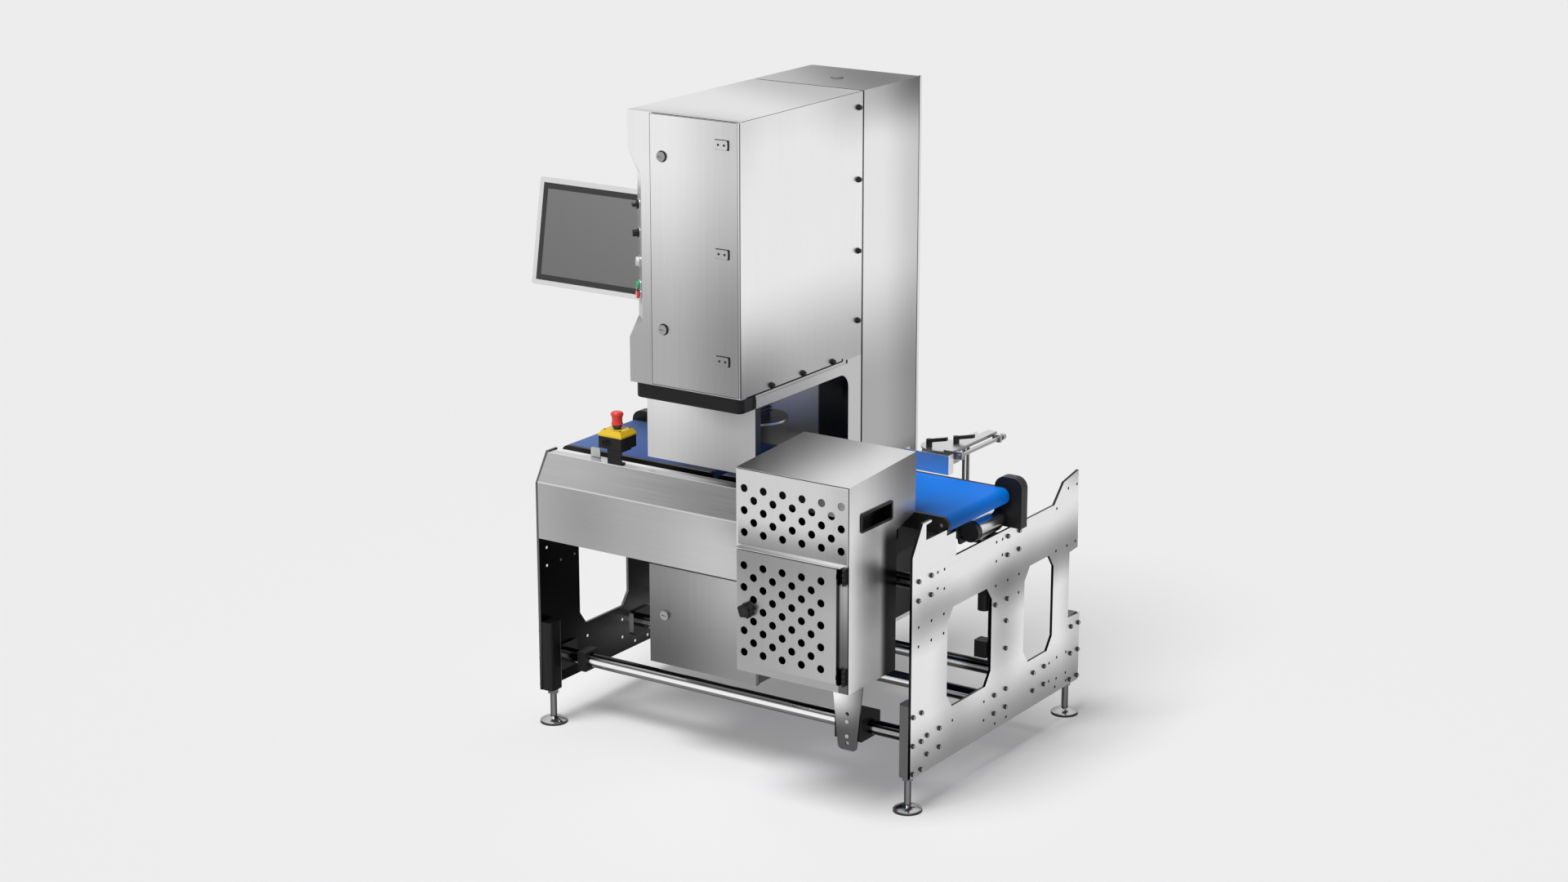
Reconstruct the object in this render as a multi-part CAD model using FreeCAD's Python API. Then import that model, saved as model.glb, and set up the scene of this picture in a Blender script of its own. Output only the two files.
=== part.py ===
"""Weigh price labeller: a free-standing machine that weighs packs on a belt, labels them under a
cantilevered head and pushes wrong ones into a locked, perforated bin.

Millimetres. X runs along the belts towards the outfeed, Y to the back, Z up. Sizes are worked out
about the middle of the two side plates; at the end all pieces move together, so that the origin is
the middle of the machine's outer box on the floor.
"""
import FreeCAD
import Part
import math
import os

V = FreeCAD.Vector
X_AXIS, Y_AXIS, Z_AXIS = V(1, 0, 0), V(0, 1, 0), V(0, 0, 1)

# Clearances
RUN_GAP = 0.05          # radial gap of a shaft in its bore
MOVE_GAP = 0.3          # gap beside a piece that moves

# Side plates and base frame
SPAN = 1296.0           # outer face to outer face of the side plates
PLATE_T = 8.0
PLATE_FRONT = -485.0
PLATE_BACK = 487.0
PLATE_BOTTOM = 106.0
PLATE_WAIST = 414.0     # back edge between the lower foot and the upper horn
PLATE_SEAT = 699.0      # low stretch of the top edge, beside the drive motor
PLATE_SHOULDER = 786.0  # notch under the belt's nose
HORN_Y = -415.0         # back of the front horn
HORN_RISE = 52.0        # front horn above the shoulder, to the cover's upper edge
WINDOW_LOW = 255.0
WINDOW_HIGH = 551.0
WINDOWS_Y = ((-293.0, -46.0), (143.0, 317.0))
WINDOW_CUT = (30.0, 40.0)
PATTERN_CENTRE = (-347.5, 516.0)
PATTERN_PITCH = (67.0, 57.0)
PATTERN_HOLE = 9.0

POST_SIZE = (36.0, 57.0)
POST_TOP = 320.0
POST_ROUND = 15.0
FOOT_PAD_D = 82.5
FOOT_PAD_H = 5.0
FOOT_DOME_H = 15.0
FOOT_SPINDLE_D = 20.0
FOOT_SPINDLE_IN = 70.0  # length of spindle inside the post
NUT_AF = 30.0
NUT_H = 13.0

TUBE_D = 42.4
TUBE_WALL = 2.6
TUBES_LOW = ((-363.0, 183.5), (11.5, 183.5), (240.0, 183.5))
TUBES_HIGH = ((-388.0, 649.0), (72.0, 649.0))
FLANGE = (90.0, 80.0, 8.0)
FLANGE_SHIFT = -30.0    # the flanges of the front high tube sit this far forward of it
SADDLE = 29.0           # half width of a support's seat round a tube
SADDLE_LOW = 623.0

# Belts
BELT_TOP = 819.0
BELT_FRONT = -290.0
BELT_BACK = 36.0
BELT_T = 1.7
BELT_START = -690.0
BELT_END = 652.0
BELT_SPLIT = -129.0
BELT_GAP = 8.0
ROLLER_D = 44.0
SHAFT_D = 12.0
RAIL_T = 11.0
SUPPORT_T = 8.0
MOTOR_D = 60.0
MOTOR_X = 605.0
MOTOR_Z = 718.0
MOTOR_FRONT = -105.0
HOUSING_X = (596.0, 685.0)
HOUSING_Z = (701.0, 848.0)
HOUSING_T = 34.0
CELL = (130.0, 40.0, 40.0)

# Front cover and drip tray
SHEET = 2.0
COVER_BOTTOM = 582.0
COVER_BEND = 755.0
COVER_TOP_Y = -433.0
COVER_TOP = 835.0

# Quarter-turn locks
LOCK_HEAD_D = 28.0
LOCK_HEAD_H = 7.0
LOCK_SHAFT_D = 18.0
TONGUE_T = 3.0
TONGUE_LAP = 5.0        # how far a tongue reaches behind its seat

# Emergency stop
ESTOP_CENTRE = (-418.0, -388.0)
ESTOP_SIZE = (84.0, 76.0)
ESTOP_BOTTOM = 876.0
ESTOP_BASE_H = 36.0
ESTOP_LID_H = 18.0
ESTOP_BEVEL = 9.0
ESTOP_COLLAR_D = 30.0
ESTOP_HEAD_D = 38.0
ESTOP_HEAD_H = 38.0
ESTOP_STEM_D = 22.0
ESTOP_TRAVEL = 5.0

# Head
HEAD_X = (-319.0, 65.0)
HEAD_FRONT = -454.0
HEAD_BACK = 172.0
HEAD_BOTTOM = 1102.0
HEAD_TOP = 1886.0
DOOR_X = (-240.0, 55.0)
DOOR_T = 18.0
JAMB_T = 14.0           # the seat beside the door is shallower, so that the tongues turn free of it
DOOR_GAP = 1.5
SCALLOP = 46.0
SCALLOP_INSET = (132.0, 186.0, 178.0, 110.0)    # its start and full depth from the head's lower and upper end
LOCK_INSET = (121.0, 168.0)
LOCK_X = -200.0
HINGE_INSET = (68.0, 104.0)
HINGE_X = 4.0
DOOR_PIN_D = 4.0
DOOR_PIN_IN = 3.0       # pin centre from the door's right and front faces
DOOR_PIN_L = 5.0
FRAME_LOW = 1061.0
FRAME_W = 20.0
LEG_FRONT = 103.0
FRAME_ROUND = 45.0
BASE_PLATE_T = 12.0
SKIRT_LOW = 1057.0
SKIRT_BACK = -386.0
GUARD_Y = -385.0
GUARD_LOW = 863.0
GUARD_RETURN = 27.0

# Column
COLUMN_FRONT = 180.0
COLUMN_BACK = 486.0
SEAM_INSET = 6.0
REAR_GAP = 3.0
REAR_T = 12.0

# Control panel on the chamfer
SELECTOR_DROP = 93.0    # below the scallop's full depth
CONTROL_PITCH = 82.0
TWIN_OFFSET = 13.0
BUTTON_D = 26.0
STEM_D = 14.0
BUTTON_TRAVEL = 3.0

# Display
DISPLAY_W = 500.0
DISPLAY_H = 320.0
DISPLAY_T = 20.0
DISPLAY_LEAN = 9.9
DISPLAY_RIGHT = -347.0
DISPLAY_LOW = (-230.0, 1278.0)
GLASS_MARGIN = 15.0
GLASS_T = 4.0
SWIVEL = (-342.0, -112.0)
SWIVEL_D = 16.0
ARM_SETBACK = 12.0      # the arm ends this far outside the swivel's axis, clear of the head when it turns
TILT = (-122.0, 1440.0)
TILT_D = 12.0

# Inside the head
WALL_Y = -196.0
REEL_D = 280.0
REEL_CORE = 76.0
REEL_W = 110.0
REEL_INSET = 196.0      # reel centre below the head's roof
REWIND_D = 170.0
REWIND_CORE = 40.0
REWIND_DROP = 275.0     # liner reel below the label reel
MODULE_RISE = 88.0
GUIDE_H = 198.0
RAM_D = 20.0
DISC_D = 186.0
DISC_Z = 940.0
DISC_T = 6.0
RAM_CENTRE = (-127.0, -95.0)

# Reject bin
BIN_X = (188.0, 555.0)
BIN_FRONT = -660.0
BIN_LOW_BACK = -418.0
BIN_TOP_BACK = -320.0
BIN_BOTTOM = 393.0
BIN_TOP_FRONT = 980.0
BIN_TOP_REAR = 1000.0
BIN_SHELF = (800.0, 828.0)
HOLE_D = 23.0
HOLE_PITCH = 63.0
SCREEN_ROWS = (924.0, 5)
SCREEN_FIRST_X = 214.0
BIN_DOOR_X = (198.0, 523.0)
BIN_DOOR_Z = (422.0, 750.0)
BIN_DOOR_T = 14.0
DOOR_FIRST = (222.0, 708.0)
DOOR_ROWS = 9
KNOB_AT = (236.0, 583.0)
KNOB_D = 46.0
KNOB_SHAFT_D = 14.0
DOORWAY_RIM = 8.0
KNUCKLE_R = 5.7
KNUCKLE_L = 14.5
HINGE_PIN_D = 5.0
GRIP_Y = (-605.0, -442.0)
GRIP_Z = (838.0, 894.0)
LEG_TOP = 480.0
LEG_WIDTHS = (116.0, 60.0)
LEG_LOW = 119.0
LEG_CENTRE = 398.0
LEG_T = 5.0

# Lower cabinet
CABINET_X = (-244.0, 127.0)
CABINET_Y = (-460.0, -160.0)
CABINET_Z = (276.0, 620.0)
CABINET_DOOR_TOP = 574.0
CABINET_LOCK = (-189.0, 427.0)
CABINET_DOOR_T = 16.0
CABINET_DOOR_GAP = 2.0  # behind the door, so that its hinged edge turns free
CABINET_SEAL = 6.0      # room for a seal between the doorway's rim and the lock's tongue
CABINET_RIM = 16.0
CABINET_PIN_D = 5.0
CABINET_PIN_IN = 5.0    # pin centre from the door's right and front faces
CABINET_PIN_L = 5.0
TAB_T = 3.0

# Reject pusher
PUSH_X = (296.0, 446.0)
PUSH_Y = 42.0
PUSH_Z = (824.0, 881.0)
PUSH_RETURN = 28.0
BEAM_X = (408.0, 438.0)
BEAM_Y = (78.0, 335.0)
BEAM_Z = 886.0
ROD_D = 10.0
ROD_END = 372.0
ROD_Z = 858.0
PIVOT_D = 128.0

# Worked out from the sizes above
RIGHT_OUT = SPAN / 2
RIGHT_IN = RIGHT_OUT - PLATE_T
FOOT_X = RIGHT_IN - POST_SIZE[0] / 2
FOOT_FRONT = PLATE_FRONT + 2 + POST_SIZE[1] / 2
FOOT_BACK = PLATE_BACK - 2 - POST_SIZE[1] / 2
NOSE_R = ROLLER_D / 2 + MOVE_GAP + BELT_T
ROLLER_Z = BELT_TOP - NOSE_R
BELT_LOW = ROLLER_Z - NOSE_R
RAIL_FRONT = BELT_FRONT - 1
RAIL_BACK = BELT_BACK + 1
HEAD_MID = (HEAD_X[0] + HEAD_X[1]) / 2
PLATE_HORN = PLATE_SHOULDER + HORN_RISE
SCALLOP_Z = (HEAD_BOTTOM + SCALLOP_INSET[0], HEAD_BOTTOM + SCALLOP_INSET[1],
             HEAD_TOP - SCALLOP_INSET[2], HEAD_TOP - SCALLOP_INSET[3])
LOCK_Z = (HEAD_TOP - LOCK_INSET[0], HEAD_BOTTOM + LOCK_INSET[1])
HINGE_Z = (HEAD_TOP - HINGE_INSET[0], (HEAD_TOP + HEAD_BOTTOM) / 2 + 18, HEAD_BOTTOM + HINGE_INSET[1])
SELECTOR_Z = SCALLOP_Z[2] - SELECTOR_DROP
DIAL_Z = SELECTOR_Z - CONTROL_PITCH
WHITE_Z = DIAL_Z - CONTROL_PITCH
TWIN_Z = WHITE_Z - CONTROL_PITCH
REEL_Z = HEAD_TOP - REEL_INSET
REWIND_Z = REEL_Z - REWIND_DROP
DISPLAY_MID = DISPLAY_RIGHT - DISPLAY_W / 2
TUBE_TOP = TUBES_LOW[0][1] + TUBE_D / 2
BASE_TOP = TUBE_TOP + BASE_PLATE_T

nodes = {}


def box(x, y, z):
    """A block between three pairs of limits."""
    return Part.makeBox(x[1] - x[0], y[1] - y[0], z[1] - z[0], V(x[0], y[0], z[0]))


def rod(start, axis, diameter, length):
    return Part.makeCylinder(diameter / 2, length, V(*start), axis)


def ring(start, axis, outer, inner, length):
    return rod(start, axis, outer, length).cut(rod(start, axis, inner, length))


def prism(points, plane, low, high):
    """A straight-sided body: an outline in the plane named, drawn out between low and high."""
    place = {"YZ": lambda a, b: V(low, a, b), "XZ": lambda a, b: V(a, low, b),
             "XY": lambda a, b: V(a, b, low)}[plane]
    way = {"YZ": X_AXIS, "XZ": Y_AXIS, "XY": Z_AXIS}[plane]
    corners = [place(a, b) for a, b in points]
    return Part.Face(Part.makePolygon(corners + corners[:1])).extrude(way * (high - low))


def polyhedron(corners, faces):
    points = [V(*c) for c in corners]
    sides = [Part.Face(Part.makePolygon([points[i] for i in f + f[:1]])) for f in faces]
    return Part.Solid(Part.Shell(sides))


def rounded(shape, radius, pick):
    """Fillet the edges that the test picks, by the edge's middle and direction."""
    edges = [e for e in shape.Edges if len(e.Vertexes) == 2 and pick(e)]
    return shape.makeFillet(radius, edges) if edges else shape


def along(edge, axis):
    way = edge.tangentAt(edge.FirstParameter)
    return abs(way.dot(axis)) > 0.999


def bent_sheet(points, thickness):
    """Outline of a folded sheet: the path of its outer face, offset to the left by its thickness."""
    ways = [((b[0] - a[0]), (b[1] - a[1])) for a, b in zip(points, points[1:])]
    units = [(dx / math.hypot(dx, dy), dy / math.hypot(dx, dy)) for dx, dy in ways]
    normals = [(-uy, ux) for ux, uy in units]
    inner = []
    for i, (px, py) in enumerate(points):
        before = normals[max(i - 1, 0)]
        after = normals[min(i, len(normals) - 1)]
        mid = (before[0] + after[0], before[1] + after[1])
        scale = 2 * thickness / (mid[0] ** 2 + mid[1] ** 2)
        inner.append((px + mid[0] * scale, py + mid[1] * scale))
    return list(points) + inner[::-1]


def group(*shapes):
    return Part.makeCompound(list(shapes))


def chamfered_window(low, high):
    """Outline of a plate window with its four corners cut."""
    dy, dz = WINDOW_CUT
    return [(low + dy, WINDOW_LOW), (high - dy, WINDOW_LOW), (high, WINDOW_LOW + dz),
            (high, WINDOW_HIGH - dz), (high - dy, WINDOW_HIGH), (low + dy, WINDOW_HIGH),
            (low, WINDOW_HIGH - dz), (low, WINDOW_LOW + dz)]


def pattern_points():
    cy, cz = PATTERN_CENTRE
    py, pz = PATTERN_PITCH
    return [(cy + sy * py / 2, cz + sz * pz / 2) for sy in (-1, 1) for sz in (-1, 1)]


def side_plate(low, high):
    """Laser-cut plate: foot, waist and horn at the back, hooked horn and belt notch at the front."""
    outline = [(PLATE_FRONT, PLATE_BOTTOM), (PLATE_BACK, PLATE_BOTTOM), (PLATE_BACK, POST_TOP - 3),
               (PLATE_WAIST, POST_TOP + 2), (PLATE_WAIST, 527), (PLATE_WAIST + 50, 531),
               (PLATE_WAIST + 44, 772), (369, 755), (313, PLATE_SEAT), (-253, PLATE_SEAT),
               (-255, BELT_LOW - 2), (RAIL_FRONT - RAIL_T - 2, BELT_LOW - 2),
               (RAIL_FRONT - RAIL_T - 2, PLATE_SHOULDER), (HORN_Y, PLATE_SHOULDER), (HORN_Y, PLATE_HORN - 8),
               (HORN_Y + 28, PLATE_HORN - 6), (HORN_Y + 28, PLATE_HORN), (HORN_Y - 17, PLATE_HORN),
               (PLATE_FRONT, COVER_BEND - 3)]
    plate = prism(outline, "YZ", low, high)
    for window in WINDOWS_Y:
        plate = plate.cut(prism(chamfered_window(*window), "YZ", low, high))
    for y, z in pattern_points():
        plate = plate.cut(rod((low, y, z), X_AXIS, PATTERN_HOLE, high - low))
    return plate


def side_plates():
    nodes["side_plate_right"] = side_plate(RIGHT_IN, RIGHT_OUT)
    nodes["side_plate_left"] = side_plate(-RIGHT_OUT, -RIGHT_IN)


def corner_posts():
    """D-shaped posts inside the plates' lower corners; each takes a foot's spindle from below."""
    posts = []
    for side in (-1, 1):
        for y in (FOOT_FRONT, FOOT_BACK):
            inner, outer = side * (RIGHT_IN - POST_SIZE[0]), side * RIGHT_IN
            post = box(sorted((inner, outer)), (y - POST_SIZE[1] / 2, y + POST_SIZE[1] / 2),
                       (PLATE_BOTTOM, POST_TOP))
            post = rounded(post, POST_ROUND,
                           lambda e: along(e, Z_AXIS) and abs(e.CenterOfMass.x - inner) < 1)
            bore = rod((side * FOOT_X, y, PLATE_BOTTOM), Z_AXIS,
                       FOOT_SPINDLE_D + 2 * RUN_GAP, FOOT_SPINDLE_IN + MOVE_GAP)
            posts.append(post.cut(bore))
    nodes["corner_posts"] = group(*posts)


def levelling_foot(x, y):
    """Rubber pad, domed base, threaded spindle and lock nut."""
    r = FOOT_PAD_D / 2
    pad = rod((x, y, 0), Z_AXIS, FOOT_PAD_D, FOOT_PAD_H)
    top = FOOT_PAD_H + FOOT_DOME_H
    section = Part.Wire([
        Part.LineSegment(V(0, 0, FOOT_PAD_H), V(r - 1, 0, FOOT_PAD_H)).toShape(),
        Part.LineSegment(V(r - 1, 0, FOOT_PAD_H), V(r - 1, 0, FOOT_PAD_H + 3)).toShape(),
        Part.Arc(V(r - 1, 0, FOOT_PAD_H + 3), V(r * 0.72, 0, FOOT_PAD_H + 9), V(15, 0, top)).toShape(),
        Part.LineSegment(V(15, 0, top), V(0, 0, top)).toShape(),
        Part.LineSegment(V(0, 0, top), V(0, 0, FOOT_PAD_H)).toShape()])
    dome = Part.Face(section).revolve(V(0, 0, 0), Z_AXIS, 360)
    dome.translate(V(x, y, 0))
    spindle = rod((x, y, top), Z_AXIS, FOOT_SPINDLE_D, PLATE_BOTTOM + FOOT_SPINDLE_IN - top)
    corner = NUT_AF / math.sqrt(3)
    hexagon = [(x + corner * math.cos(math.radians(60 * i)), y + corner * math.sin(math.radians(60 * i)))
               for i in range(6)]
    nut = prism(hexagon, "XY", PLATE_BOTTOM - MOVE_GAP - NUT_H, PLATE_BOTTOM - MOVE_GAP)
    return group(pad, dome.fuse(spindle).fuse(nut).removeSplitter())


def levelling_feet():
    nodes["foot_front_left"] = levelling_foot(-FOOT_X, FOOT_FRONT)
    nodes["foot_front_right"] = levelling_foot(FOOT_X, FOOT_FRONT)
    nodes["foot_back_left"] = levelling_foot(-FOOT_X, FOOT_BACK)
    nodes["foot_back_right"] = levelling_foot(FOOT_X, FOOT_BACK)


def cross_tubes():
    """Five round tubes from plate to plate, each welded to a bolting flange at both ends."""
    tubes = []
    for y, z in TUBES_LOW + TUBES_HIGH:
        length = 2 * RIGHT_IN
        tube = ring((-RIGHT_IN, y, z), X_AXIS, TUBE_D, TUBE_D - 2 * TUBE_WALL, length)
        for side in (-1, 1):
            edge = side * RIGHT_IN
            inner = edge - side * FLANGE[2]
            mid = y + FLANGE_SHIFT if (y, z) == TUBES_HIGH[0] else y
            flange = box(sorted((inner, edge)), (mid - FLANGE[0] / 2, mid + FLANGE[0] / 2),
                         (z - FLANGE[1] / 2, z + FLANGE[1] / 2))
            flange = rounded(flange, 12, lambda e: along(e, X_AXIS))
            tube = tube.fuse(flange)
        tubes.append(tube.removeSplitter())
    nodes["cross_tubes"] = group(*tubes)


def tube_clamp(x, tube, size, low, high):
    """A split block clamped round a tube: x is its middle, low and high its faces in Z."""
    y, z = tube
    block = box((x - size[0] / 2, x + size[0] / 2), (y - size[1] / 2, y + size[1] / 2), (low, high))
    block = block.cut(rod((x - size[0] / 2, y, z), X_AXIS, TUBE_D, size[0]))
    slit = box((x - size[0] / 2, x + size[0] / 2), (y + TUBE_D / 2 - 2, y + size[1] / 2), (z - 1.5, z + 1.5))
    return block.cut(slit)


def clamp_blocks():
    """Clamps: two hang the cabinet, two hold cables on the low tubes, one takes the bin's leg."""
    front_high = TUBES_HIGH[0]
    hangers = [tube_clamp(x, front_high, (50, 64), CABINET_Z[1], front_high[1] + 32) for x in (-190, 75)]
    front_low = TUBES_LOW[0]
    reach = front_low[0] - (BIN_LOW_BACK + LEG_T)
    bin_clamp = tube_clamp(LEG_CENTRE, front_low, (90, 2 * reach), front_low[1] - 34, front_low[1] + 34)
    low = [tube_clamp(x, t, (30, 62), t[1] - 30, t[1] + 30) for x, t in ((-560, TUBES_LOW[0]),
                                                                     (-500, TUBES_LOW[1]))]
    nodes["clamp_blocks"] = group(*hangers, bin_clamp, *low)


def front_cover():
    """Folded sheet from the left plate to the bin: return, front, slanted face and top lip."""
    path = [(COVER_TOP_Y + 28, COVER_TOP), (COVER_TOP_Y, COVER_TOP), (PLATE_FRONT, COVER_BEND),
            (PLATE_FRONT, COVER_BOTTOM), (PLATE_FRONT + 20, COVER_BOTTOM)]
    nodes["front_cover"] = prism(bent_sheet(path, SHEET), "YZ", -RIGHT_IN, BIN_X[0] - 3)


def drip_tray():
    """Stepped steel strips between the cover's lip and the belt's front rail, and a sensor clip."""
    lip = COVER_TOP_Y + 28
    path = [(RAIL_FRONT - RAIL_T, 790), (RAIL_FRONT - RAIL_T - 26, 790), (RAIL_FRONT - RAIL_T - 30, 812),
            (RAIL_FRONT - RAIL_T - 62, 812), (RAIL_FRONT - RAIL_T - 66, 826), (lip, 826),
            (lip, COVER_TOP - SHEET)]
    tray = prism(bent_sheet(path, -SHEET), "YZ", -RIGHT_IN, BIN_X[0] - 3)
    clip = box((-506, -472), (lip + 4, lip + 7), (828, 864))
    clip = rounded(clip, 6, lambda e: along(e, Y_AXIS) and e.CenterOfMass.z > 862)
    nodes["drip_tray"] = group(tray, clip)


def belt_limits():
    return (("weigh", BELT_START, BELT_SPLIT - BELT_GAP / 2), ("outfeed", BELT_SPLIT + BELT_GAP / 2, BELT_END))


def obround(start, end, radius, front, back):
    """A bar with two round ends in XZ, drawn out from front to back."""
    a, b = start + radius, end - radius
    z = ROLLER_Z
    outline = Part.Wire([
        Part.LineSegment(V(a, front, z + radius), V(b, front, z + radius)).toShape(),
        Part.Arc(V(b, front, z + radius), V(b + radius, front, z), V(b, front, z - radius)).toShape(),
        Part.LineSegment(V(b, front, z - radius), V(a, front, z - radius)).toShape(),
        Part.Arc(V(a, front, z - radius), V(a - radius, front, z), V(a, front, z + radius)).toShape()])
    return Part.Face(outline).extrude(Y_AXIS * (back - front))


def conveyor_belts():
    loops = []
    for _, start, end in belt_limits():
        outer = obround(start, end, NOSE_R, BELT_FRONT, BELT_BACK)
        inner = obround(start + BELT_T, end - BELT_T, NOSE_R - BELT_T, BELT_FRONT, BELT_BACK)
        loops.append(outer.cut(inner))
    nodes["conveyor_belts"] = group(*loops)


def roller(x, drive):
    """Roller with stub shafts in the rails; a driven one reaches into the drive housing."""
    back = RAIL_BACK + RAIL_T + (HOUSING_T - 6 if drive else -2)
    body = rod((x, BELT_FRONT + 2, ROLLER_Z), Y_AXIS, ROLLER_D, BELT_BACK - BELT_FRONT - 4)
    front = RAIL_FRONT - RAIL_T + 2
    return body.fuse(rod((x, front, ROLLER_Z), Y_AXIS, SHAFT_D, back - front)).removeSplitter()


def rollers():
    for name, start, end in belt_limits():
        ends = {"start": start + NOSE_R, "end": end - NOSE_R}
        driven = "start" if name == "weigh" else "end"
        for place, x in ends.items():
            kind = "drive" if place == driven else "idle"
            nodes[f"{name}_{kind}_roller"] = roller(x, kind == "drive")


def conveyor_frame():
    """Round-nosed side rails, slider beds inside the belts and supports down to the high tubes."""
    solids = []
    for name, start, end in belt_limits():
        bed = box((start + 2 * NOSE_R + 6, end - 2 * NOSE_R - 6), (RAIL_FRONT, RAIL_BACK),
                  (ROLLER_Z - NOSE_R + BELT_T + 2, BELT_TOP - BELT_T))
        frame = bed
        for front in (RAIL_FRONT - RAIL_T, RAIL_BACK):
            rail = obround(start, end, NOSE_R, front, front + RAIL_T)
            for x in (start + NOSE_R, end - NOSE_R):
                rail = rail.cut(rod((x, front, ROLLER_Z), Y_AXIS, SHAFT_D + 2 * RUN_GAP, RAIL_T))
            frame = frame.fuse(rail)
        solids.append(frame.removeSplitter())
    low = ROLLER_Z - NOSE_R
    for x in (BELT_SPLIT + 70, BELT_END - 170):
        front, back = TUBES_HIGH[0][0], TUBES_HIGH[1][0]
        outline = [(RAIL_FRONT - RAIL_T, low), (RAIL_FRONT - RAIL_T, 735), (front - SADDLE, 690),
                   (front - SADDLE, SADDLE_LOW), (front + SADDLE, SADDLE_LOW), (-300, 690), (20, 690),
                   (back - SADDLE, SADDLE_LOW), (back + SADDLE, SADDLE_LOW), (back + SADDLE, 700),
                   (RAIL_BACK + RAIL_T, 735), (RAIL_BACK + RAIL_T, low)]
        web = prism(outline, "YZ", x, x + SUPPORT_T)
        for y, z in TUBES_HIGH:
            web = web.cut(rod((x, y, z), X_AXIS, TUBE_D, SUPPORT_T))
        solids.append(web)
    nodes["conveyor_frame"] = group(*solids)


def load_cell():
    """Bending-beam cell with its crossed-hole cut-out, a base clamped on the high tubes and a spider."""
    mid = (BELT_START + BELT_SPLIT) / 2
    low = ROLLER_Z - NOSE_R
    y = (BELT_FRONT + BELT_BACK) / 2
    base_top = TUBES_HIGH[0][1] + TUBE_D / 2 + 8
    base = box((mid - 60, mid + 60), (TUBES_HIGH[0][0] - 25, TUBES_HIGH[1][0] + 25),
               (TUBES_HIGH[0][1] + TUBE_D / 2, base_top))
    foot = box((mid - 60, mid - 25), (y - 20, y + 20), (base_top, base_top + 8))
    cell_low = base_top + 8
    cell = box((mid - CELL[0] / 2, mid + CELL[0] / 2), (y - CELL[1] / 2, y + CELL[1] / 2),
               (cell_low, cell_low + CELL[2]))
    slot = box((mid - 25, mid + 25), (y - CELL[1] / 2, y + CELL[1] / 2), (cell_low + 14, cell_low + 26))
    for x in (mid - 25, mid + 25):
        slot = slot.fuse(rod((x, y - CELL[1] / 2, cell_low + 20), Y_AXIS, 26, CELL[1]))
    cell = cell.cut(slot)
    head = box((mid + 25, mid + 60), (y - 20, y + 20), (cell_low + CELL[2], low - 6))
    spider = box((mid - 110, mid + 110), (BELT_FRONT - 12, BELT_BACK + 12), (low - 6, low - MOVE_GAP))
    spider = spider.cut(box((mid - 70, mid + 15), (y - 90, y + 90), (low - 6, low - MOVE_GAP)))
    nodes["load_cell"] = group(base, foot, cell, head, spider)


def drives():
    """Two drum motors below the belt's ends and the toothed-belt housings behind them."""
    motors, housings = [], []
    back = RAIL_BACK + RAIL_T
    for side in (-1, 1):
        x = side * MOTOR_X
        can = rod((x, MOTOR_FRONT + 20, MOTOR_Z), Y_AXIS, MOTOR_D, back - 14 - MOTOR_FRONT - 20)
        cap = rod((x, MOTOR_FRONT, MOTOR_Z), Y_AXIS, MOTOR_D - 2, 20)
        neck = rod((x, back - 14, MOTOR_Z), Y_AXIS, MOTOR_D - 12, 14)
        motors.append(can.fuse(cap).fuse(neck).removeSplitter())
        limits = sorted((side * HOUSING_X[0], side * HOUSING_X[1]))
        cover = box(limits, (back, back + HOUSING_T), HOUSING_Z)
        cover = rounded(cover, 32, lambda e: along(e, Y_AXIS) and e.CenterOfMass.z > HOUSING_Z[1] - 1)
        shaft_x = BELT_END - NOSE_R if side > 0 else BELT_START + NOSE_R
        cover = cover.cut(rod((shaft_x, back, ROLLER_Z), Y_AXIS, SHAFT_D + 2 * RUN_GAP, HOUSING_T - 5))
        housings.append(cover)
    nodes["drive_motors"] = group(*motors)
    nodes["drive_housings"] = group(*housings)


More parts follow.
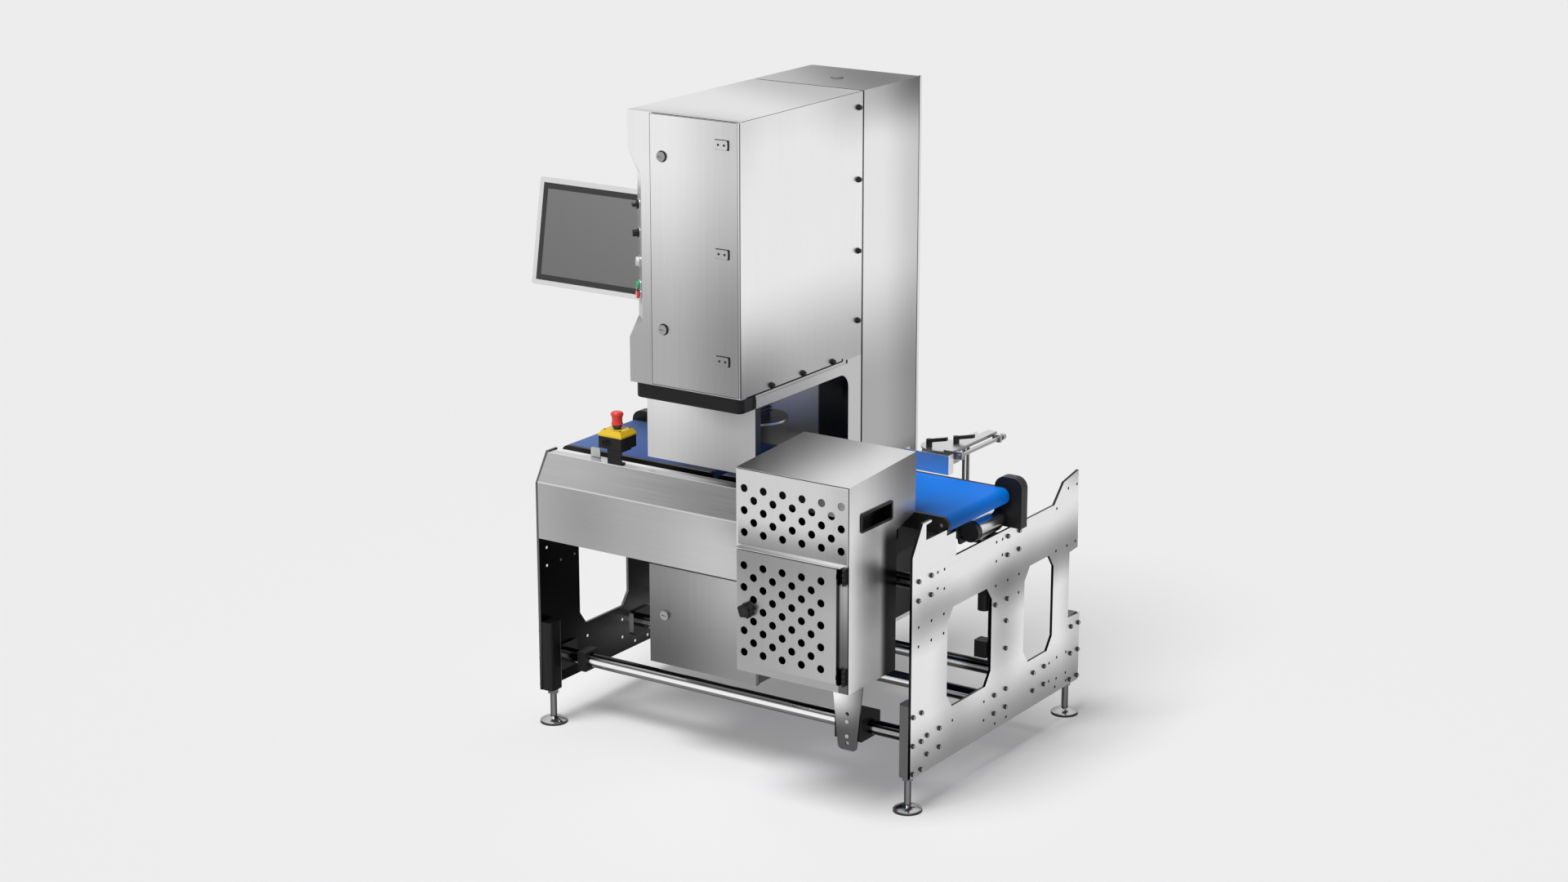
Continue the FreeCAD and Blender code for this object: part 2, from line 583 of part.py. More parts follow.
def emergency_stop():
    cx, cy = ESTOP_CENTRE
    hx, hy = ESTOP_SIZE[0] / 2, ESTOP_SIZE[1] / 2
    base_top = ESTOP_BOTTOM + ESTOP_BASE_H
    lid_top = base_top + ESTOP_LID_H
    upright_y = COVER_TOP_Y + 6
    bracket = box((cx - 8, cx + hx), (upright_y, upright_y + 4), (COVER_TOP, ESTOP_BOTTOM))
    bracket = bracket.fuse(box((cx - 8, cx + hx), (upright_y, upright_y + 20), (COVER_TOP, COVER_TOP + 4)))
    bracket = bracket.fuse(box((cx - 8, cx + hx), (upright_y, cy + 10), (ESTOP_BOTTOM - 4, ESTOP_BOTTOM)))
    nodes["estop_bracket"] = bracket.removeSplitter()
    base = box((cx - hx, cx + hx), (cy - hy, cy + hy), (ESTOP_BOTTOM, base_top))
    base = rounded(base, 4, lambda e: along(e, Z_AXIS))
    knockout = rod((cx - 16, cy - hy, ESTOP_BOTTOM + ESTOP_BASE_H / 2), Y_AXIS, 20, 2.5)
    nodes["estop_box"] = base.cut(knockout)
    b = ESTOP_BEVEL
    low = [V(cx - hx, cy - hy, base_top), V(cx + hx, cy - hy, base_top),
           V(cx + hx, cy + hy, base_top), V(cx - hx, cy + hy, base_top)]
    skirt = Part.Face(Part.makePolygon(low + low[:1])).extrude(Z_AXIS * 5)
    mid = [p + V(0, 0, 5) for p in low]
    top = [V(cx - hx + b, cy - hy + b, lid_top), V(cx + hx - b, cy - hy + b, lid_top),
           V(cx + hx - b, cy + hy - b, lid_top), V(cx - hx + b, cy + hy - b, lid_top)]
    bevel = Part.makeLoft([Part.makePolygon(mid + mid[:1]), Part.makePolygon(top + top[:1])], True, True)
    lid = skirt.fuse(bevel).removeSplitter()
    stem_hole = rod((cx, cy, base_top), Z_AXIS, ESTOP_STEM_D + 2 * RUN_GAP, ESTOP_LID_H)
    nodes["estop_lid"] = lid.cut(stem_hole)
    collar_low = lid_top + ESTOP_TRAVEL + 1
    stem = rod((cx, cy, base_top + ESTOP_TRAVEL + 1), Z_AXIS, ESTOP_STEM_D, collar_low - base_top)
    collar = rod((cx, cy, collar_low), Z_AXIS, ESTOP_COLLAR_D, 8)
    head_low = collar_low + 8
    r = ESTOP_HEAD_D / 2
    side = Part.Wire([
        Part.LineSegment(V(0, 0, 0), V(r - 1, 0, 0)).toShape(),
        Part.Arc(V(r - 1, 0, 0), V(r - 3, 0, ESTOP_HEAD_H * 0.55), V(r, 0, ESTOP_HEAD_H - 9)).toShape(),
        Part.Arc(V(r, 0, ESTOP_HEAD_H - 9), V(r - 3, 0, ESTOP_HEAD_H - 2), V(r - 9, 0, ESTOP_HEAD_H)).toShape(),
        Part.LineSegment(V(r - 9, 0, ESTOP_HEAD_H), V(0, 0, ESTOP_HEAD_H)).toShape(),
        Part.LineSegment(V(0, 0, ESTOP_HEAD_H), V(0, 0, 0)).toShape()])
    head = Part.Face(side).revolve(V(0, 0, 0), Z_AXIS, 360)
    head.translate(V(cx, cy, head_low))
    nodes["estop_button"] = stem.fuse(collar).fuse(head).removeSplitter()


def scallop_cut(x, y, depth, heights):
    """The corner taken off at 45 degrees, running out to nothing above and below."""
    z0, z1, z2, z3 = heights
    corners = [(x, y, z0), (x + depth, y, z1), (x, y + depth, z1),
               (x + depth, y, z2), (x, y + depth, z2), (x, y, z3)]
    faces = [[0, 1, 3, 5], [0, 5, 4, 2], [1, 2, 4, 3], [5, 3, 4], [0, 2, 1]]
    return polyhedron(corners, faces)


def head_shell():
    """Folded cabinet of the head: left wall, roof, back and the fixed strip left of the door."""
    x0, x1 = HEAD_X[0], HEAD_X[1] - SHEET
    outer = box((x0, x1), (HEAD_FRONT, HEAD_BACK), (HEAD_BOTTOM, HEAD_TOP))
    outer = outer.cut(scallop_cut(x0, HEAD_FRONT, SCALLOP, SCALLOP_Z))
    inner = box((x0 + SHEET, x1 - SHEET), (HEAD_FRONT + SHEET, HEAD_BACK - SHEET),
                (HEAD_BOTTOM + SHEET, HEAD_TOP - SHEET))
    inner_depth = SCALLOP + SHEET * math.sqrt(2) - 2 * SHEET
    inner = inner.cut(scallop_cut(x0 + SHEET, HEAD_FRONT + SHEET, inner_depth, SCALLOP_Z))
    shell = outer.cut(inner)
    opening = box((DOOR_X[0] - DOOR_GAP, DOOR_X[1] + DOOR_GAP), (HEAD_FRONT - 1, HEAD_FRONT + SHEET + 1),
                  (HEAD_BOTTOM + SHEET + 1, HEAD_TOP - SHEET - 1))
    jamb = box((DOOR_X[0] - DOOR_GAP - SHEET, DOOR_X[0] - DOOR_GAP), (HEAD_FRONT, HEAD_FRONT + JAMB_T),
               (HEAD_BOTTOM + SHEET, HEAD_TOP - SHEET))
    shell = shell.cut(opening).fuse(jamb)
    px, py = head_door_pivot()
    for z in (HEAD_BOTTOM + SHEET, HEAD_TOP - SHEET - DOOR_PIN_L):
        shell = shell.fuse(rod((px, py, z), Z_AXIS, DOOR_PIN_D, DOOR_PIN_L))
    hatch = box((x1 - SHEET - 1, x1 + 1), (HEAD_FRONT + 30, HEAD_BACK - 30),
                (HEAD_BOTTOM + 25, HEAD_TOP - 25))
    shell = shell.cut(hatch)
    rx, ry = RAM_CENTRE
    mouth = box((rx - 70, rx + 70), (ry - 60, ry + 60), (HEAD_BOTTOM - 1, HEAD_BOTTOM + SHEET + 1))
    shell = shell.cut(mouth)
    for z in control_heights():
        shell = shell.cut(panel_bore(z))
    sx, sy = SWIVEL
    for low in (TILT[1] - 42, TILT[1] + 30):
        ear = box((sx - 16, x0), (sy - 18, sy + 18), (low, low + 12))
        ear = rounded(ear, 14, lambda e: along(e, Z_AXIS) and e.CenterOfMass.x < sx - 10)
        shell = shell.fuse(ear.cut(rod((sx, sy, low), Z_AXIS, SWIVEL_D + 2 * RUN_GAP, 12)))
    nodes["head_shell"] = shell.removeSplitter()


def control_heights():
    return (SELECTOR_Z, DIAL_Z, WHITE_Z, TWIN_Z + TWIN_OFFSET, TWIN_Z - TWIN_OFFSET)


def panel_point(out, z):
    """A point on the middle line of the chamfer, so far out from its face."""
    mid = SCALLOP / 2
    step = out / math.sqrt(2)
    return (HEAD_X[0] + mid - step, HEAD_FRONT + mid - step, z)


PANEL_OUT = V(-1, -1, 0).normalize()


def panel_bore(z):
    return rod(panel_point(-10, z), PANEL_OUT, STEM_D + 2 * RUN_GAP, 20)


def controls():
    """Selector, dial and push buttons on the chamfer, each on a stem through the sheet."""
    def stem(z, out):
        return rod(panel_point(-12, z), PANEL_OUT, STEM_D, 12 + out)
    handle = box((-5, 5), (-13, 13), (0, 12))
    handle = rounded(handle, 4, lambda e: along(e, Z_AXIS))
    handle.rotate(V(0, 0, 0), Y_AXIS, -90)
    handle.rotate(V(0, 0, 0), Z_AXIS, 45)
    handle.translate(V(*panel_point(9, SELECTOR_Z)))
    base = rod(panel_point(MOVE_GAP, SELECTOR_Z), PANEL_OUT, BUTTON_D, 9 - MOVE_GAP)
    nodes["selector_switch"] = stem(SELECTOR_Z, 2).fuse(base).fuse(handle).removeSplitter()
    dial = rod(panel_point(MOVE_GAP, DIAL_Z), PANEL_OUT, BUTTON_D, 6)
    dial = dial.fuse(rod(panel_point(6, DIAL_Z), PANEL_OUT, BUTTON_D - 6, 14))
    nodes["dial_knob"] = stem(DIAL_Z, 2).fuse(dial).removeSplitter()
    lift = BUTTON_TRAVEL + 1
    white = rod(panel_point(lift, WHITE_Z), PANEL_OUT, BUTTON_D, 8)
    nodes["white_button"] = stem(WHITE_Z, lift + 1).fuse(white).removeSplitter()
    for name, z in (("start_button", TWIN_Z + TWIN_OFFSET), ("stop_button", TWIN_Z - TWIN_OFFSET)):
        face = rod(panel_point(lift, z), PANEL_OUT, BUTTON_D - 2, 8)
        nodes[name] = stem(z, lift + 1).fuse(face).removeSplitter()


def head_door_pivot():
    return DOOR_X[1] - DOOR_PIN_IN, HEAD_FRONT + DOOR_PIN_IN


def head_door():
    """Tall pan-shaped door flush with the strip, turning on two pins, with three hinge plates."""
    x, z = DOOR_X, (HEAD_BOTTOM + SHEET + 2.5, HEAD_TOP - SHEET - 2.5)
    door = box(x, (HEAD_FRONT, HEAD_FRONT + DOOR_T), z)
    door = door.cut(box((x[0] + SHEET, x[1] - SHEET), (HEAD_FRONT + SHEET, HEAD_FRONT + DOOR_T),
                        (z[0] + SHEET, z[1] - SHEET)))
    px, py = head_door_pivot()
    door = door.cut(rod((px, py, z[0]), Z_AXIS, DOOR_PIN_D + 2 * RUN_GAP, z[1] - z[0]))
    for lock_z in LOCK_Z:
        door = door.cut(rod((LOCK_X, HEAD_FRONT, lock_z), Y_AXIS, LOCK_SHAFT_D + 2 * RUN_GAP, SHEET))
    plates = []
    for hinge_z in HINGE_Z:
        plate = box((HINGE_X - 21, HINGE_X + 21), (HEAD_FRONT - 5, HEAD_FRONT), (hinge_z - 13, hinge_z + 13))
        plates.append(rounded(plate, 6, lambda e: along(e, Y_AXIS)))
    nodes["head_door"] = group(door, *plates)


def quarter_turn(x, face, z, seat, reach):
    """Quarter-turn lock, shown open: a turn brings its tongue behind the seat at the door's edge."""
    head = rod((x, face - LOCK_HEAD_H - MOVE_GAP, z), Y_AXIS, LOCK_HEAD_D, LOCK_HEAD_H)
    slot = box((x - 8, x + 8), (face - LOCK_HEAD_H - 1, face - LOCK_HEAD_H + 3), (z - 2, z + 2))
    back = seat + MOVE_GAP
    shaft = rod((x, face - 1, z), Y_AXIS, LOCK_SHAFT_D, back + TONGUE_T - face + 1)
    tongue = box((x - 8, x + 8), (back, back + TONGUE_T), (z - reach, z + 8))
    return head.cut(slot).fuse(shaft).fuse(tongue).removeSplitter()


def head_locks():
    for name, z in zip(("head_lock_upper", "head_lock_lower"), LOCK_Z):
        reach = LOCK_X - DOOR_X[0] + DOOR_GAP + SHEET + TONGUE_LAP
        nodes[name] = quarter_turn(LOCK_X, HEAD_FRONT, z, HEAD_FRONT + DOOR_T, reach)


def head_side_panel():
    x = HEAD_X[1]
    nodes["head_side_panel"] = box((x - SHEET, x), (HEAD_FRONT, HEAD_BACK), (HEAD_BOTTOM, HEAD_TOP))


def head_frame():
    """Welded frame that carries the head: base plate, two legs, two arms, a front bar and a back wall."""
    arm_front = SKIRT_BACK + 6
    pieces = []
    for low, high in ((HEAD_X[0], HEAD_X[0] + FRAME_W), (HEAD_X[1] - FRAME_W, HEAD_X[1])):
        outline = [(arm_front, FRAME_LOW), (arm_front, HEAD_BOTTOM), (HEAD_BACK, HEAD_BOTTOM),
                   (HEAD_BACK, BASE_TOP), (LEG_FRONT, BASE_TOP), (LEG_FRONT, FRAME_LOW)]
        side = prism(outline, "YZ", low, high)
        side = rounded(side, FRAME_ROUND,
                       lambda e: along(e, X_AXIS) and abs(e.CenterOfMass.y - LEG_FRONT) < 1
                       and abs(e.CenterOfMass.z - FRAME_LOW) < 1)
        pieces.append(side)
    inside = (HEAD_X[0] + FRAME_W, HEAD_X[1] - FRAME_W)
    pieces.append(box(inside, (arm_front, arm_front + 20), (FRAME_LOW + 14, HEAD_BOTTOM)))
    pieces.append(box(inside, (HEAD_BACK - 8, HEAD_BACK - 5), (BASE_TOP, HEAD_BOTTOM)))
    pieces.append(box(HEAD_X, (TUBES_LOW[1][0] - 25, COLUMN_BACK), (TUBE_TOP, BASE_TOP)))
    frame = pieces[0].multiFuse(pieces[1:]).removeSplitter()
    groove = box((HEAD_X[1] - 3, HEAD_X[1] + 1), (arm_front, HEAD_BACK - 74), (HEAD_BOTTOM - 11, HEAD_BOTTOM))
    nodes["head_frame"] = frame.cut(groove)


def head_skirt():
    """Black moulded skirt below the door, hollow from below, with round front corners."""
    x = (HEAD_X[0] + 12, HEAD_X[1] - 4)
    y = (HEAD_FRONT + 4, SKIRT_BACK)
    block = box(x, y, (SKIRT_LOW, HEAD_BOTTOM))
    block = rounded(block, 20, lambda e: along(e, Z_AXIS) and e.CenterOfMass.y < y[0] + 1)
    block = rounded(block, 6, lambda e: abs(e.CenterOfMass.z - SKIRT_LOW) < 0.5 and e.CenterOfMass.y < y[1] - 1)
    pocket = box((x[0] + 24, x[1] - 24), (y[0] + 24, y[1] - 5), (SKIRT_LOW - 1, HEAD_BOTTOM - 6))
    nodes["head_skirt"] = block.cut(pocket)


def head_guard():
    """Steel guard plate under the skirt, with a return at each side."""
    x = (HEAD_X[0] + 8, HEAD_X[1])
    back = GUARD_Y + GUARD_RETURN
    arm_front = SKIRT_BACK + 6
    face = box(x, (GUARD_Y, GUARD_Y + SHEET), (GUARD_LOW, HEAD_BOTTOM))
    for edge in (x[0], x[1] - SHEET):
        face = face.fuse(box((edge, edge + SHEET), (GUARD_Y, back), (GUARD_LOW, FRAME_LOW)))
    spacer = box((x[0] + 40, x[1] - 40), (GUARD_Y + SHEET, arm_front), (FRAME_LOW + 20, HEAD_BOTTOM))
    nodes["head_guard"] = face.fuse(spacer).removeSplitter()


def column():
    """Hollow column behind the head, stepped in at the seam, with a round plug in its roof."""
    x = HEAD_X
    low, high = BASE_TOP, HEAD_TOP
    body = box(x, (COLUMN_FRONT, COLUMN_BACK), (low, high))
    neck = box((x[0] + SEAM_INSET, x[1] - SEAM_INSET), (HEAD_BACK, COLUMN_FRONT), (low, high - SEAM_INSET))
    hollow = box((x[0] + SEAM_INSET + SHEET, x[1] - SEAM_INSET - SHEET), (HEAD_BACK + SHEET, COLUMN_FRONT + SHEET),
                 (low, high - SEAM_INSET - SHEET))
    room = box((x[0] + SHEET, x[1] - SHEET), (COLUMN_FRONT + SHEET, COLUMN_BACK), (low, high - SHEET))
    body = body.fuse(neck).cut(hollow).cut(room)
    plug_at = (HEAD_MID, (COLUMN_FRONT + COLUMN_BACK) / 2, high)
    plug = rod(plug_at, Z_AXIS, 38, 3)
    nodes["column"] = group(body.removeSplitter(), plug)


def rear_cover():
    """Back cover of the column: a shallow pan on a stepped-in seat, so that a dark joint shows."""
    x = HEAD_X
    low, high = BASE_TOP, HEAD_TOP - 2
    seat = box((x[0] + SEAM_INSET, x[1] - SEAM_INSET), (COLUMN_BACK, COLUMN_BACK + REAR_GAP), (low, high - SEAM_INSET))
    pan = box(x, (COLUMN_BACK + REAR_GAP, COLUMN_BACK + REAR_GAP + REAR_T), (low, high))
    cover = seat.fuse(pan)
    room = box((x[0] + 14, x[1] - 14), (COLUMN_BACK, COLUMN_BACK + REAR_GAP + REAR_T - SHEET), (low + 14, high - 14))
    nodes["rear_cover"] = cover.cut(room).removeSplitter()


def lean(shape):
    """Put a display piece, drawn upright from its lower front edge, at its place and lean."""
    shape.rotate(V(0, 0, 0), X_AXIS, -DISPLAY_LEAN)
    shape.translate(V(DISPLAY_MID, DISPLAY_LOW[0], DISPLAY_LOW[1]))
    return shape


def display():
    """Leaning display with a tapered back, its glass, and the arm it swivels and tilts on."""
    w, h, m = DISPLAY_W / 2, DISPLAY_H, GLASS_MARGIN
    frame = rounded(box((-w, w), (0, DISPLAY_T), (0, h)), 8, lambda e: along(e, Y_AXIS))
    rim = [V(-w + 20, DISPLAY_T, 20), V(w - 20, DISPLAY_T, 20), V(w - 20, DISPLAY_T, h - 20), V(-w + 20, DISPLAY_T, h - 20)]
    back = [V(-w + 90, DISPLAY_T + 30, 70), V(w - 90, DISPLAY_T + 30, 70),
            V(w - 90, DISPLAY_T + 30, h - 70), V(-w + 90, DISPLAY_T + 30, h - 70)]
    bulge = Part.makeLoft([Part.makePolygon(rim + rim[:1]), Part.makePolygon(back + back[:1])], True, True)
    housing = frame.fuse(bulge).removeSplitter()
    glass = box((-w + m, w - m), (-0.5, GLASS_T), (m, h - m))
    pocket = box((-w + m, w - m), (0, GLASS_T), (m, h - m))
    ledge = m + 8
    room = box((-w + ledge, w - ledge), (0, DISPLAY_T - 2), (ledge, h - ledge))
    inner_back = box((-w + 95, w - 95), (0, DISPLAY_T + 27), (75, h - 75))
    housing = lean(housing.cut(pocket).cut(room).cut(inner_back))
    ty, tz = TILT
    knuckle = rod((DISPLAY_MID - 30, ty, tz), X_AXIS, 30, 60)
    web = box((DISPLAY_MID - 30, DISPLAY_MID + 30), (ty - 40, ty), (tz - 15, tz + 15))
    housing = housing.fuse(knuckle.fuse(web))
    housing = housing.cut(rod((DISPLAY_MID - 30, ty, tz), X_AXIS, TILT_D + 2 * RUN_GAP, 60))
    nodes["display_housing"] = housing.removeSplitter()
    nodes["display_glass"] = lean(glass)
    sx, sy = SWIVEL
    arm_y = ty + 40
    pin = rod((sx, sy, tz - 46), Z_AXIS, SWIVEL_D, 92)
    hub = rod((sx, sy, tz - 30 + MOVE_GAP), Z_AXIS, 32, 60 - 2 * MOVE_GAP)
    inner = sx - ARM_SETBACK
    hub = hub.fuse(box((inner - 26, inner), (sy - 12, arm_y + 10), (tz - 20, tz + 20)))
    beam = box((DISPLAY_MID - 48, inner), (arm_y - 10, arm_y + 10), (tz - 20, tz + 20))
    arm = pin.fuse(hub).fuse(beam)
    for low, high in ((DISPLAY_MID - 48, DISPLAY_MID - 31), (DISPLAY_MID + 31, DISPLAY_MID + 48)):
        fork = box((low, high), (ty, arm_y), (tz - 15, tz + 15))
        arm = arm.fuse(fork).fuse(rod((low, ty, tz), X_AXIS, 30, high - low))
    arm = arm.fuse(rod((DISPLAY_MID - 40, ty, tz), X_AXIS, TILT_D, 80))
    nodes["display_arm"] = arm.removeSplitter()


def print_unit():
    """Mounting wall inside the head with both reel spindles, the print module, peel edge and ram guide."""
    x = (HEAD_X[0] + SHEET + 1, HEAD_X[1] - 2 * SHEET - 1)
    wall = box((x[0], x[1]), (WALL_Y, WALL_Y + 4), (HEAD_BOTTOM + SHEET, HEAD_TOP - SHEET - 2))
    front = WALL_Y - REEL_W - 20
    spindle = rod((HEAD_MID, front, REEL_Z), Y_AXIS, REEL_CORE - 2 * RUN_GAP, WALL_Y - front)
    spool = rod((HEAD_MID + 60, front, REWIND_Z), Y_AXIS, REWIND_CORE - 2 * RUN_GAP, WALL_Y - front)
    low = HEAD_BOTTOM + MODULE_RISE
    module = box((HEAD_MID - 105, HEAD_MID + 15), (front, WALL_Y), (low, low + 100))
    print_head = box((HEAD_MID - 120, HEAD_MID - 105), (front + 8, WALL_Y - 8), (low + 10, low + 70))
    peel = prism([(HEAD_MID - 120, low - 10), (HEAD_MID - 120, low), (HEAD_MID + 15, low)], "XZ", front, WALL_Y)
    idler_places = ((-150, REEL_Z - 190), (-150, low + 140), (150, REEL_Z - 150))
    idlers = [rod((HEAD_MID + dx, front, z), Y_AXIS, 18, WALL_Y - front) for dx, z in idler_places]
    rx, ry = RAM_CENTRE
    guide = box((rx - 34, rx + 34), (WALL_Y + 4, ry + 34), (HEAD_BOTTOM + SHEET, HEAD_BOTTOM + GUIDE_H))
    guide = guide.cut(rod((rx, ry, HEAD_BOTTOM), Z_AXIS, RAM_D + 2 * RUN_GAP, GUIDE_H + 1))
    unit = wall.multiFuse([spindle, spool, module, print_head, peel, guide] + idlers)
    nodes["print_unit"] = unit.removeSplitter()


def reels():
    for name, x, z, outer, core in (("label_reel", HEAD_MID, REEL_Z, REEL_D, REEL_CORE),
                                    ("liner_reel", HEAD_MID + 60, REWIND_Z, REWIND_D, REWIND_CORE)):
        y = WALL_Y - REEL_W - 6
        nodes[name] = ring((x, y, z), Y_AXIS, outer, core, REEL_W)


def applicator():
    """Ram with a ribbed suction box and a round plate that sets the label down."""
    x, y = RAM_CENTRE
    plate = rod((x, y, DISC_Z), Z_AXIS, DISC_D, DISC_T)
    block = box((x - 30, x + 30), (y - 26, y + 26), (DISC_Z + DISC_T, DISC_Z + DISC_T + 70))
    for i in range(5):
        z = DISC_Z + DISC_T + 14 + 10 * i
        block = block.fuse(box((x - 34, x + 34), (y - 30, y + 30), (z, z + 4)))
    ram = rod((x, y, DISC_Z + DISC_T), Z_AXIS, RAM_D, HEAD_BOTTOM + GUIDE_H - 20 - DISC_Z)
    nodes["applicator"] = plate.fuse(block).fuse(ram).removeSplitter()


def staggered_holes(first, rows, count, low, high):
    """Row by row points of a 45 degree staggered pattern between two limits in X."""
    points = []
    for row in range(rows):
        shift = HOLE_PITCH / 2 if row % 2 else 0
        for i in range(count):
            x = first[0] + shift + i * HOLE_PITCH
            if low <= x - HOLE_D / 2 and x + HOLE_D / 2 <= high:
                points.append((x, first[1] - row * HOLE_PITCH / 2))
    return points


def perforated(sheet, points, front):
    for x, z in points:
        sheet = sheet.cut(rod((x, front, z), Y_AXIS, HOLE_D, SHEET))
    return sheet


def reject_bin():
    """Bin of folded sheet: open to the belt at the back above its shelf, sloping roof, door in front."""
    def outline(t):
        slope = (BIN_TOP_REAR - BIN_TOP_FRONT) / (BIN_TOP_BACK - BIN_FRONT)
        return [(BIN_FRONT + t, BIN_BOTTOM + t), (BIN_FRONT + t, BIN_TOP_FRONT + slope * t - t),
                (BIN_TOP_BACK - t, BIN_TOP_REAR - slope * t - t), (BIN_TOP_BACK - t, BIN_SHELF[1] + t),
                (BIN_LOW_BACK - t, BIN_SHELF[0] + t), (BIN_LOW_BACK - t, BIN_BOTTOM + t)]
    body = prism(outline(0), "YZ", *BIN_X)
    body = body.cut(prism(outline(SHEET), "YZ", BIN_X[0] + SHEET, BIN_X[1] - SHEET))
    mouth = box((BIN_X[0] + 12, BIN_X[1] - 12), (BIN_TOP_BACK - 6, BIN_TOP_BACK + 2),
                (BIN_SHELF[1] + 8, BIN_TOP_REAR - 22))
    screen = box((BIN_X[0] + 6, BIN_X[1] - 6), (BIN_FRONT - 1, BIN_FRONT + SHEET + 1), screen_heights())
    doorway = box((BIN_DOOR_X[0] + DOORWAY_RIM, BIN_DOOR_X[1] - DOORWAY_RIM),
                  (BIN_FRONT - 1, BIN_FRONT + SHEET + 1),
                  (BIN_DOOR_Z[0] + DOORWAY_RIM, BIN_DOOR_Z[1] - DOORWAY_RIM))
    grip = box((BIN_X[1] - SHEET - 1, BIN_X[1] + 1), (GRIP_Y[0] + 5, GRIP_Y[1] - 5), (GRIP_Z[0] + 5, GRIP_Z[1] - 5))
    body = body.cut(mouth).cut(screen).cut(doorway).cut(grip)
    lip = box((BIN_DOOR_X[0] - 4, BIN_DOOR_X[1] + 14), (BIN_FRONT - BIN_DOOR_T - 2, BIN_FRONT),
              (BIN_DOOR_Z[1] + 4, BIN_DOOR_Z[1] + 4 + SHEET))
    nodes["reject_bin"] = group(body.fuse(lip).removeSplitter(), *bin_hinges())
    sheet = box((BIN_X[0] + 6, BIN_X[1] - 6), (BIN_FRONT, BIN_FRONT + SHEET), screen_heights())
    points = staggered_holes((SCREEN_FIRST_X, SCREEN_ROWS[0]), SCREEN_ROWS[1], 6, BIN_X[0] + 12, BIN_X[1] - 8)
    nodes["bin_screen"] = perforated(sheet, points, BIN_FRONT)


def bin_hinge_pin():
    return BIN_DOOR_X[1] + KNUCKLE_R + MOVE_GAP, BIN_FRONT - BIN_DOOR_T + 4


def bin_hinge_heights():
    return BIN_DOOR_Z[0] - 2, BIN_DOOR_Z[1] + 2 - 3 * KNUCKLE_L


def bin_hinges():
    """Fixed outer knuckles with their leaves and pins, and the strip between the two hinges."""
    px, py = bin_hinge_pin()
    inner = BIN_DOOR_X[1] + MOVE_GAP
    fixed = []
    for low in bin_hinge_heights():
        leaf = rod((px, py, low), Z_AXIS, HINGE_PIN_D, 3 * KNUCKLE_L)
        for start in (low, low + 2 * KNUCKLE_L):
            leaf = leaf.fuse(rod((px, py, start), Z_AXIS, 2 * KNUCKLE_R, KNUCKLE_L))
            leaf = leaf.fuse(box((inner, px + KNUCKLE_R), (py, BIN_FRONT), (start, start + KNUCKLE_L)))
        fixed.append(leaf.removeSplitter())
    low, high = bin_hinge_heights()
    strip = box((inner + 2, px + KNUCKLE_R), (BIN_FRONT - 4, BIN_FRONT), (low + 3 * KNUCKLE_L + 1, high - 1))
    return fixed + [strip]


def screen_heights():
    return (BIN_DOOR_Z[1] + 12, BIN_TOP_FRONT - 8)


def bin_door():
    """Perforated pan door proud of the bin, with the middle knuckles of its two hinges."""
    front = BIN_FRONT - BIN_DOOR_T
    x, z = BIN_DOOR_X, BIN_DOOR_Z
    back = BIN_FRONT - MOVE_GAP
    door = box(x, (front, back), z)
    door = door.cut(box((x[0] + SHEET, x[1] - SHEET), (front + SHEET, back), (z[0] + SHEET, z[1] - SHEET)))
    points = [p for p in staggered_holes(DOOR_FIRST, DOOR_ROWS, 5, x[0] + 8, x[1] - 14)
              if math.hypot(p[0] - KNOB_AT[0], p[1] - KNOB_AT[1]) > KNOB_D * 0.6]
    door = perforated(door, points, front)
    door = door.cut(rod((KNOB_AT[0], front, KNOB_AT[1]), Y_AXIS, KNOB_SHAFT_D + 2 * RUN_GAP, SHEET))
    px, py = bin_hinge_pin()
    for low in bin_hinge_heights():
        start, length = low + KNUCKLE_L + MOVE_GAP, KNUCKLE_L - 2 * MOVE_GAP
        web = box((x[1], px), (py - KNUCKLE_R, py + KNUCKLE_R), (start, start + length))
        knuckle = web.fuse(rod((px, py, start), Z_AXIS, 2 * KNUCKLE_R, length))
        door = door.fuse(knuckle.cut(rod((px, py, start), Z_AXIS, HINGE_PIN_D + 2 * RUN_GAP, length)))
    nodes["bin_door"] = door.removeSplitter()


def bin_knob():
    """Five-lobed black locking knob."""
    x, z = KNOB_AT
    front = BIN_FRONT - BIN_DOOR_T
    depth = 24
    body = rod((x, front - MOVE_GAP - depth, z), Y_AXIS, KNOB_D - 12, depth)
    for i in range(5):
        a = math.radians(90 + 72 * i)
        r = KNOB_D / 2 - 7
        body = body.fuse(rod((x + r * math.cos(a), front - MOVE_GAP - depth + 4, z + r * math.sin(a)), Y_AXIS, 14, 14))
    back = BIN_FRONT + SHEET + MOVE_GAP
    body = body.fuse(rod((x, front - 1, z), Y_AXIS, KNOB_SHAFT_D, back + TONGUE_T - front + 1))
    reach = x - BIN_DOOR_X[0] - DOORWAY_RIM + TONGUE_LAP
    tongue = box((x - 8, x + 8), (back, back + TONGUE_T), (z - reach, z + 8))
    nodes["bin_knob"] = body.fuse(tongue).removeSplitter()


def bin_grip():
    """Recessed grip tray with a flat rim round it."""
    outer, depth, wall = BIN_X[1], 34, 2.5
    rim = box((outer, outer + 3), GRIP_Y, GRIP_Z)
    rim = rounded(rim, 8, lambda e: along(e, X_AXIS))
    tray = box((outer - depth, outer), (GRIP_Y[0] + 5, GRIP_Y[1] - 5), (GRIP_Z[0] + 5, GRIP_Z[1] - 5))
    hollow = box((outer - depth + wall, outer + 4), (GRIP_Y[0] + 5 + wall, GRIP_Y[1] - 5 - wall),
                 (GRIP_Z[0] + 5 + wall, GRIP_Z[1] - 5 - wall))
    nodes["bin_grip"] = rim.fuse(tray).cut(hollow).removeSplitter()


